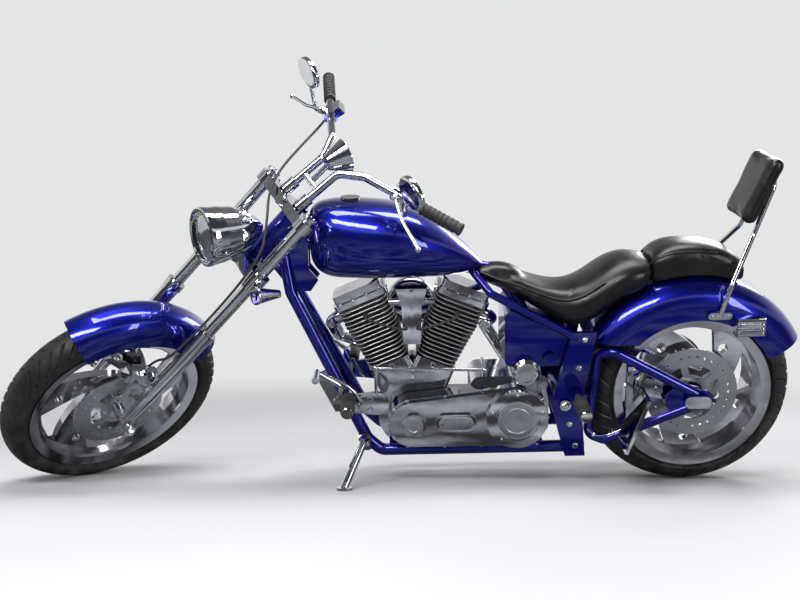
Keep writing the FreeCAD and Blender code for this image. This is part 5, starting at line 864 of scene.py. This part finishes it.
fit(copies(mark, places), "dial_marks", "steering", "black_steel")
needle = outline_plate([(-1.6, -9), (1.6, -9), (0.5, 36), (-0.5, 36)], 0.8)
at_zero = DIAL @ Matrix.Rotation(math.radians(MARK_SWEEP), 4, "Z") @ Matrix.Translation((0, 0, 0.0042))
fit(put(needle, at_zero), "dial_needle", "steering", "black_steel")
hub = turned([(0, 3.5), (4.5, 3.5), (4.5, 6.5), (3, 7.5), (0, 7.5)], sides=24)
fit(put(hub, DIAL), "dial_hub", "steering", "chrome")
bezel = turned([(46.5, 0), (46.5, 6), (48.2, 7.6), (50, 6.4), (50, 0), (46.5, 0)], sides=64)
fit(put(bezel, DIAL), "dial_bezel", "steering", "chrome")

# %% [markdown]
# The covers of the drive side are what the eye meets first. On the real machine each carries a brushed disc
# or plate inside a polished rim, and the blank brushed faces make the polish around them look deeper. The
# round ones are turned with the fine steps that a lathe leaves, and the long window is cut from plate.

# %% Brushed faces on the covers
derby = turned([(0, 0), (60, 0), (61.5, 0.8), (61.5, 2.2), (59, 3.2), (44, 3.2), (43, 2.5), (41, 2.5),
                (40, 3.2), (14, 3.2), (12, 2.4), (0, 2.4)], sides=96)
fit(put(derby, stood(BIKE, (DERBY[0], 168.2, DERBY[2]))), "derby_face", "chassis", "disc_steel")
front_cap = turned([(0, 0), (29, 0), (30, 0.8), (30, 1.8), (28, 2.6), (18, 2.6), (17, 1.8), (0, 1.8)], sides=72)
fit(put(front_cap, stood(BIKE, (CRANK[0], 162.2, CRANK[2]))), "front_cap_face", "chassis", "disc_steel")
starter_ring = turned([(26, 0), (36, 0), (38, 1.5), (36, 3.5), (30, 4.5), (26, 3.5), (26, 0)], sides=64)
fit(put(starter_ring, stood(BIKE, (532, 146.6, 424))), "starter_ring", "chassis", "chrome")

WINDOW_X, WINDOW_Z = 751.5, 269
window = outline_plate(rounded(54, 21, 20), 2.4, 0.8)
fit(put(window, stood(BIKE, (WINDOW_X, 160.2, WINDOW_Z))), "inspection_face", "chassis", "disc_steel")
bar = outline_plate(rounded(2.6, 21, 2.5), 3.4, 0.8)
fit(put(bar, stood(BIKE, (WINDOW_X, 160.4, WINDOW_Z))), "inspection_bar", "chassis", "chrome")
places = [stood(BIKE, (WINDOW_X + x, 162.4, WINDOW_Z)) for x in (-44, 44)]
chromed(socket_screw(4, 3), places, "inspection_screws")

# %% [markdown]
# The far side has its own show: the air cleaner's stepped cover with a ring of screws, and the mufflers
# with their clamps and rolled tips. All of it is turned work.

# %% Air cleaner and mufflers
LOWER_PIPE, UPPER_PIPE, PIPE_Y = 187, 271, -263
cleaner = turned([(0, 0), (60, 0), (62, 2), (60, 5), (50, 6), (48, 4), (30, 4), (28, 6), (20, 9), (0, 10)],
                 sides=96)
fit(put(cleaner, stood(BIKE, (885, -183.8, 575), (0, -1, 0))), "air_cleaner_face", "chassis", "chrome")
places = on_circle(BIKE, (885, -184, 575), 73, 6, (0, -1, 0))
chromed(socket_screw(4.5, 4), places, "air_cleaner_screws")
clamp = turned([(38.2, -9), (40.5, -9), (41, -8), (41, 8), (40.5, 9), (38.2, 9), (38.2, -9)], sides=56)
spots = [(x, PIPE_Y, LOWER_PIPE) for x in (380, 120, -60)] + [(x, PIPE_Y, UPPER_PIPE) for x in (380, 140)]
chromed(clamp, [stood(BIKE, spot, (1, 0, 0)) for spot in spots], "muffler_clamps")
tip = turned([(38.4, -3), (41.5, -3), (42.5, 0), (41.5, 7), (38.6, 12), (38.4, -3)], sides=56)
spots = [(-104, PIPE_Y, LOWER_PIPE), (98, PIPE_Y, UPPER_PIPE)]
chromed(tip, [stood(BIKE, spot, (1, 0, 0)) for spot in spots], "muffler_tips")

# %% [markdown]
# The fork's clamps are held by pinch screws, and its tubes end in flat caps with a round recess. The stem's
# nut sits between them. The pegs get their bright end caps.

# %% Fork and peg fittings
LEG_SIDES = (121, -121)
leg_cap = turned([(0, 0), (22, 0), (23, 1), (23, 6), (21, 8), (13, 8), (12, 6.5), (0, 6.5)], sides=40)
places = [stood(FORK, (62, y, 891), *UPRIGHT) for y in LEG_SIDES]
chromed(leg_cap, places, "fork_caps", "steering")
places = [stood(FORK, (x, y, z), (-1, 0, 0)) for y in LEG_SIDES for x, z in ((21, 640), (21, 656), (31, 863))]
chromed(socket_screw(5, 4), places, "tree_screws", "steering")
fit(put(hexagon_bolt(15, 14), stood(FORK, (0, 0, 880.2), *UPRIGHT)), "stem_nut", "steering", "chrome")
peg_cap = turned([(0, 0), (17, 0), (18.4, 1.5), (18.4, 7), (16, 9.4), (8, 9.8), (0, 9.8)], sides=40)
places = on_both_sides(BIKE, (1086, 275.5, 364), (368, 289, 343))
chromed(peg_cap, places, "peg_caps")

# %% [markdown]
# The signals and the marker lamps get clear lenses. A signal's is a low dome held by a rolled rim. A
# marker's is a flat pressed plate with ribs, bedded in its chrome housing: it is cut across nine times, and
# each strip between two cuts is inset and raised.

# %% Lamp lenses
lens = turned([(0, 6.5), (10, 6), (19, 3.6), (24, 0.5), (24.5, -1.5), (0, -1.5)], sides=40)
pointing = Vector((1, 0, -0.5)).normalized()
places = [stood(FORK, Vector((56, y, 641)) + pointing * 38, pointing) for y in (190, -190)]
fit(copies(lens, places), "signal_lenses", "steering", GLASS)
rim = turned([(24.8, -3), (27.2, -3), (27.6, 0), (27, 3), (25.4, 4), (24.8, 2), (24.8, -3)], sides=48)
chromed(rim, places, "signal_rims", "steering")

marker = outline_plate(rounded(36, 20, 5), 3.0, 1.0)
for cut in steps(-0.030, 0.030, 9):
    edit_all()
    bpy.ops.mesh.bisect(plane_co=(cut, 0, 0), plane_no=(1, 0, 0))
inset_faces(marker, lambda centre, normal: normal.z > 0.9 and abs(centre.x) < 0.031, (0.0008, 0.0010),
            use_individual=True)
fit(copies(marker, on_both_sides(BIKE, (-146, 185.5, 574))), "marker_lenses", "chassis", GLASS)

# %% [markdown]
# The front brake's hose runs from the right control down past the headlamp to the left leg and the caliper,
# and two leads run from the coil's cover to the plugs. A hose is one diameter all along, so each is a single
# smooth line through a few points, swept with a round section. Both ends of each go into a fitting.

# %% Hose and leads
HOSE_RADIUS = 0.004

def hose(name, points, base, body, stands_for, length):
    piece = smooth_line(name, points, base, HOSE_RADIUS, 4, 12)
    piece.data.materials.append(FINISH["rubber_black"])
    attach(piece, body)
    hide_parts(*stands_for)
    print(name, length, "m")

HOSE = [(-0.0500, -0.2115, 1.0955), (-0.0440, -0.2040, 1.0620), (0.0280, -0.1400, 1.0000),
        (0.0860, -0.0840, 0.9140), (0.1020, -0.0400, 0.8500), (0.1040, 0.0400, 0.7900),
        (0.1000, 0.1210, 0.7000), (0.1000, 0.1210, 0.2800), (0.0960, 0.0640, 0.2220), (0.0960, 0.0640, 0.1755)]
hose("front_brake_hose", HOSE, FORK, "steering", ["brake_line"], 1.09)
for name, start, plug in (("front_plug_lead", 0.901, 1.028), ("rear_plug_lead", 0.869, 0.742)):
    leads = [(start, 0.0922, 0.566), (start, 0.124, 0.566), (plug, 0.124, 0.607), (plug, 0.1015, 0.607)]
    hose(name, leads, BIKE, "chassis", ["cables"], 0.16)
boot = turned([(0, 0), (8, 0), (8.6, 2), (7.6, 4), (8, 6), (6.6, 20), (5.4, 24), (0, 24)], sides=28)
fit(copies(boot, [stood(BIKE, (x, 78.6, 607)) for x in (1028, 742)]), "plug_boots", "chassis", "rubber_black")
ferrule = turned([(0, -2), (7.4, -2), (7.4, 6), (6, 8), (6, 18), (4.6, 20), (0, 20)], sides=6, angle=20)
fit(put(ferrule, stood(FORK, (96, 64, 174.5), *UPRIGHT)), "hose_ferrule", "steering", "chrome")

# %% [markdown]
# In front of the engine sit the controls for the feet. The frame brings their plates and arms. The pieces
# that catch the light are added here: the round stepped pivots, the bolts of the plates and the ribs of the
# four peg rubbers.

# %% Pivots, bolts and peg ribs
FRONT_PEG, REAR_PEG, RIBS, RIB_STEP = (1086, 176, 364), (368, 194, 343), 8, 12
pivot = turned([(0, 0), (19, 0), (20, 1), (20, 7), (18, 9), (12, 9), (11, 11), (6, 12), (0, 12)], sides=48)
chromed(pivot, on_both_sides(BIKE, (1068, 162, 334)), "control_pivots")
places = on_both_sides(BIKE, (1020, 156.2, 322), (1020, 156.2, 358))
chromed(hexagon_bolt(7, 6), places, "control_bolts")
rib = turned([(18.6, -3), (21.2, -2), (21.6, 0), (21.2, 2), (18.6, 3), (18.6, -3)], sides=32)
places = []
for x, y, z in (FRONT_PEG, REAR_PEG):
    places += on_both_sides(BIKE, *((x, y + RIB_STEP * index, z) for index in range(RIBS)))
fit(copies(rib, places), "peg_ribs", "chassis", "rubber_black")

# %% [markdown]
# Last come the quiet fittings: a blank plate in the side holder, screws in the feet of the backrest's bar,
# caps over the calipers' pistons and three bolts in the engine case.

# %% Plate, feet, calipers and case
BLANK = finish("blank_plate", (0.60, 0.60, 0.59), (0.54, 0.54, 0.53), (0.34, 0.46), 0.0,
               (GRAIN, 500.0, 0.00004), 0.15)
plate = outline_plate(rounded(50, 82, 7), 2.0, 0.6)
inset_faces(plate, lambda centre, normal: normal.z > 0.9 and centre.xy.length < 0.03, (0.004, 0),
            (0.0015, -0.0007))
tail = stood(BIKE, (203.9, 232, 304), (-0.94, 0, -0.342))
fit(put(plate, tail), "blank_plate_board", "chassis", BLANK)
places = on_both_sides(BIKE, (-80, 155.5, 606), (-32, 155.5, 606))
chromed(socket_screw(4.6, 4), places, "sissy_screws")
front, rear = [stood(FORK, (90, 121, 150))], [stood(BIKE, (x, 120.5, z)) for x, z in ((112, 352), (140, 381))]
for name, body, places in (("front_caliper_cap", "steering", front), ("rear_caliper_caps", "chassis", rear)):
    cap = turned([(0, 0), (13, 0), (14, 1), (14, 3), (12, 4.5), (5, 4.5), (4, 3), (0, 3)], sides=40)
    chromed(cap, places, name, body)
places = [stood(BIKE, (x, 72, z)) for x, z in ((820, 434), (950, 434), (885, 398))]
chromed(hexagon_bolt(6, 5), places, "case_bolts")

# %% [markdown]
# Two curved bars finish the left side. The toe lever's arm is the thick one, from its pivot up to the peg
# that the toe moves. The rear brake's pipe is thin and hugs the swingarm's lower tube: each of its points
# is moved to the nearest place on the tube's surface and out by most of its own radius, as if it were bent
# by hand along the tube, and two clips hold it.

# %% Toe lever's arm and rear brake pipe
ARM_RADIUS, PIPE_RADIUS, PIPE_SINK = 0.0058, 0.003, 0.8
ARM_ROUTE = [(x, 0.17, z) for x, z in ((1.1746, 0.4467), (1.1501, 0.4412), (1.1197, 0.429), (1.0896, 0.4083),
                                       (1.0656, 0.386), (1.0479, 0.3554))]
bead("toe_lever_arm", ARM_ROUTE, ARM_RADIUS, "chrome")
PIPE_ROUTE = [(x, 0.158, z) for x, z in ((0.3452, 0.2243), (0.326, 0.2249), (0.3033, 0.2272), (0.282, 0.2309),
                                         (0.262, 0.2367), (0.2417, 0.249), (0.2245, 0.2641))]
hugging, outward = [], []
for point in PIPE_ROUTE:
    _, place, normal, _ = nodes["swingarm"].closest_point_on_mesh(BIKE @ Vector(point))
    hugging.append(BIKE.inverted() @ (place + normal * PIPE_RADIUS * PIPE_SINK))
    outward.append(BIKE.to_3x3().inverted() @ normal)
bead("rear_brake_pipe", hugging, PIPE_RADIUS, "chrome")
clip = outline_plate(rounded(4.5, 7, 3), 2.6, 0.7)
places = [stood(BIKE, hugging[index] * 1000 + outward[index] * 1.2, outward[index]) for index in (1, 4)]
chromed(clip, places, "pipe_clips")

# %% [markdown]
# The dressing mustn't make the machine any bigger.
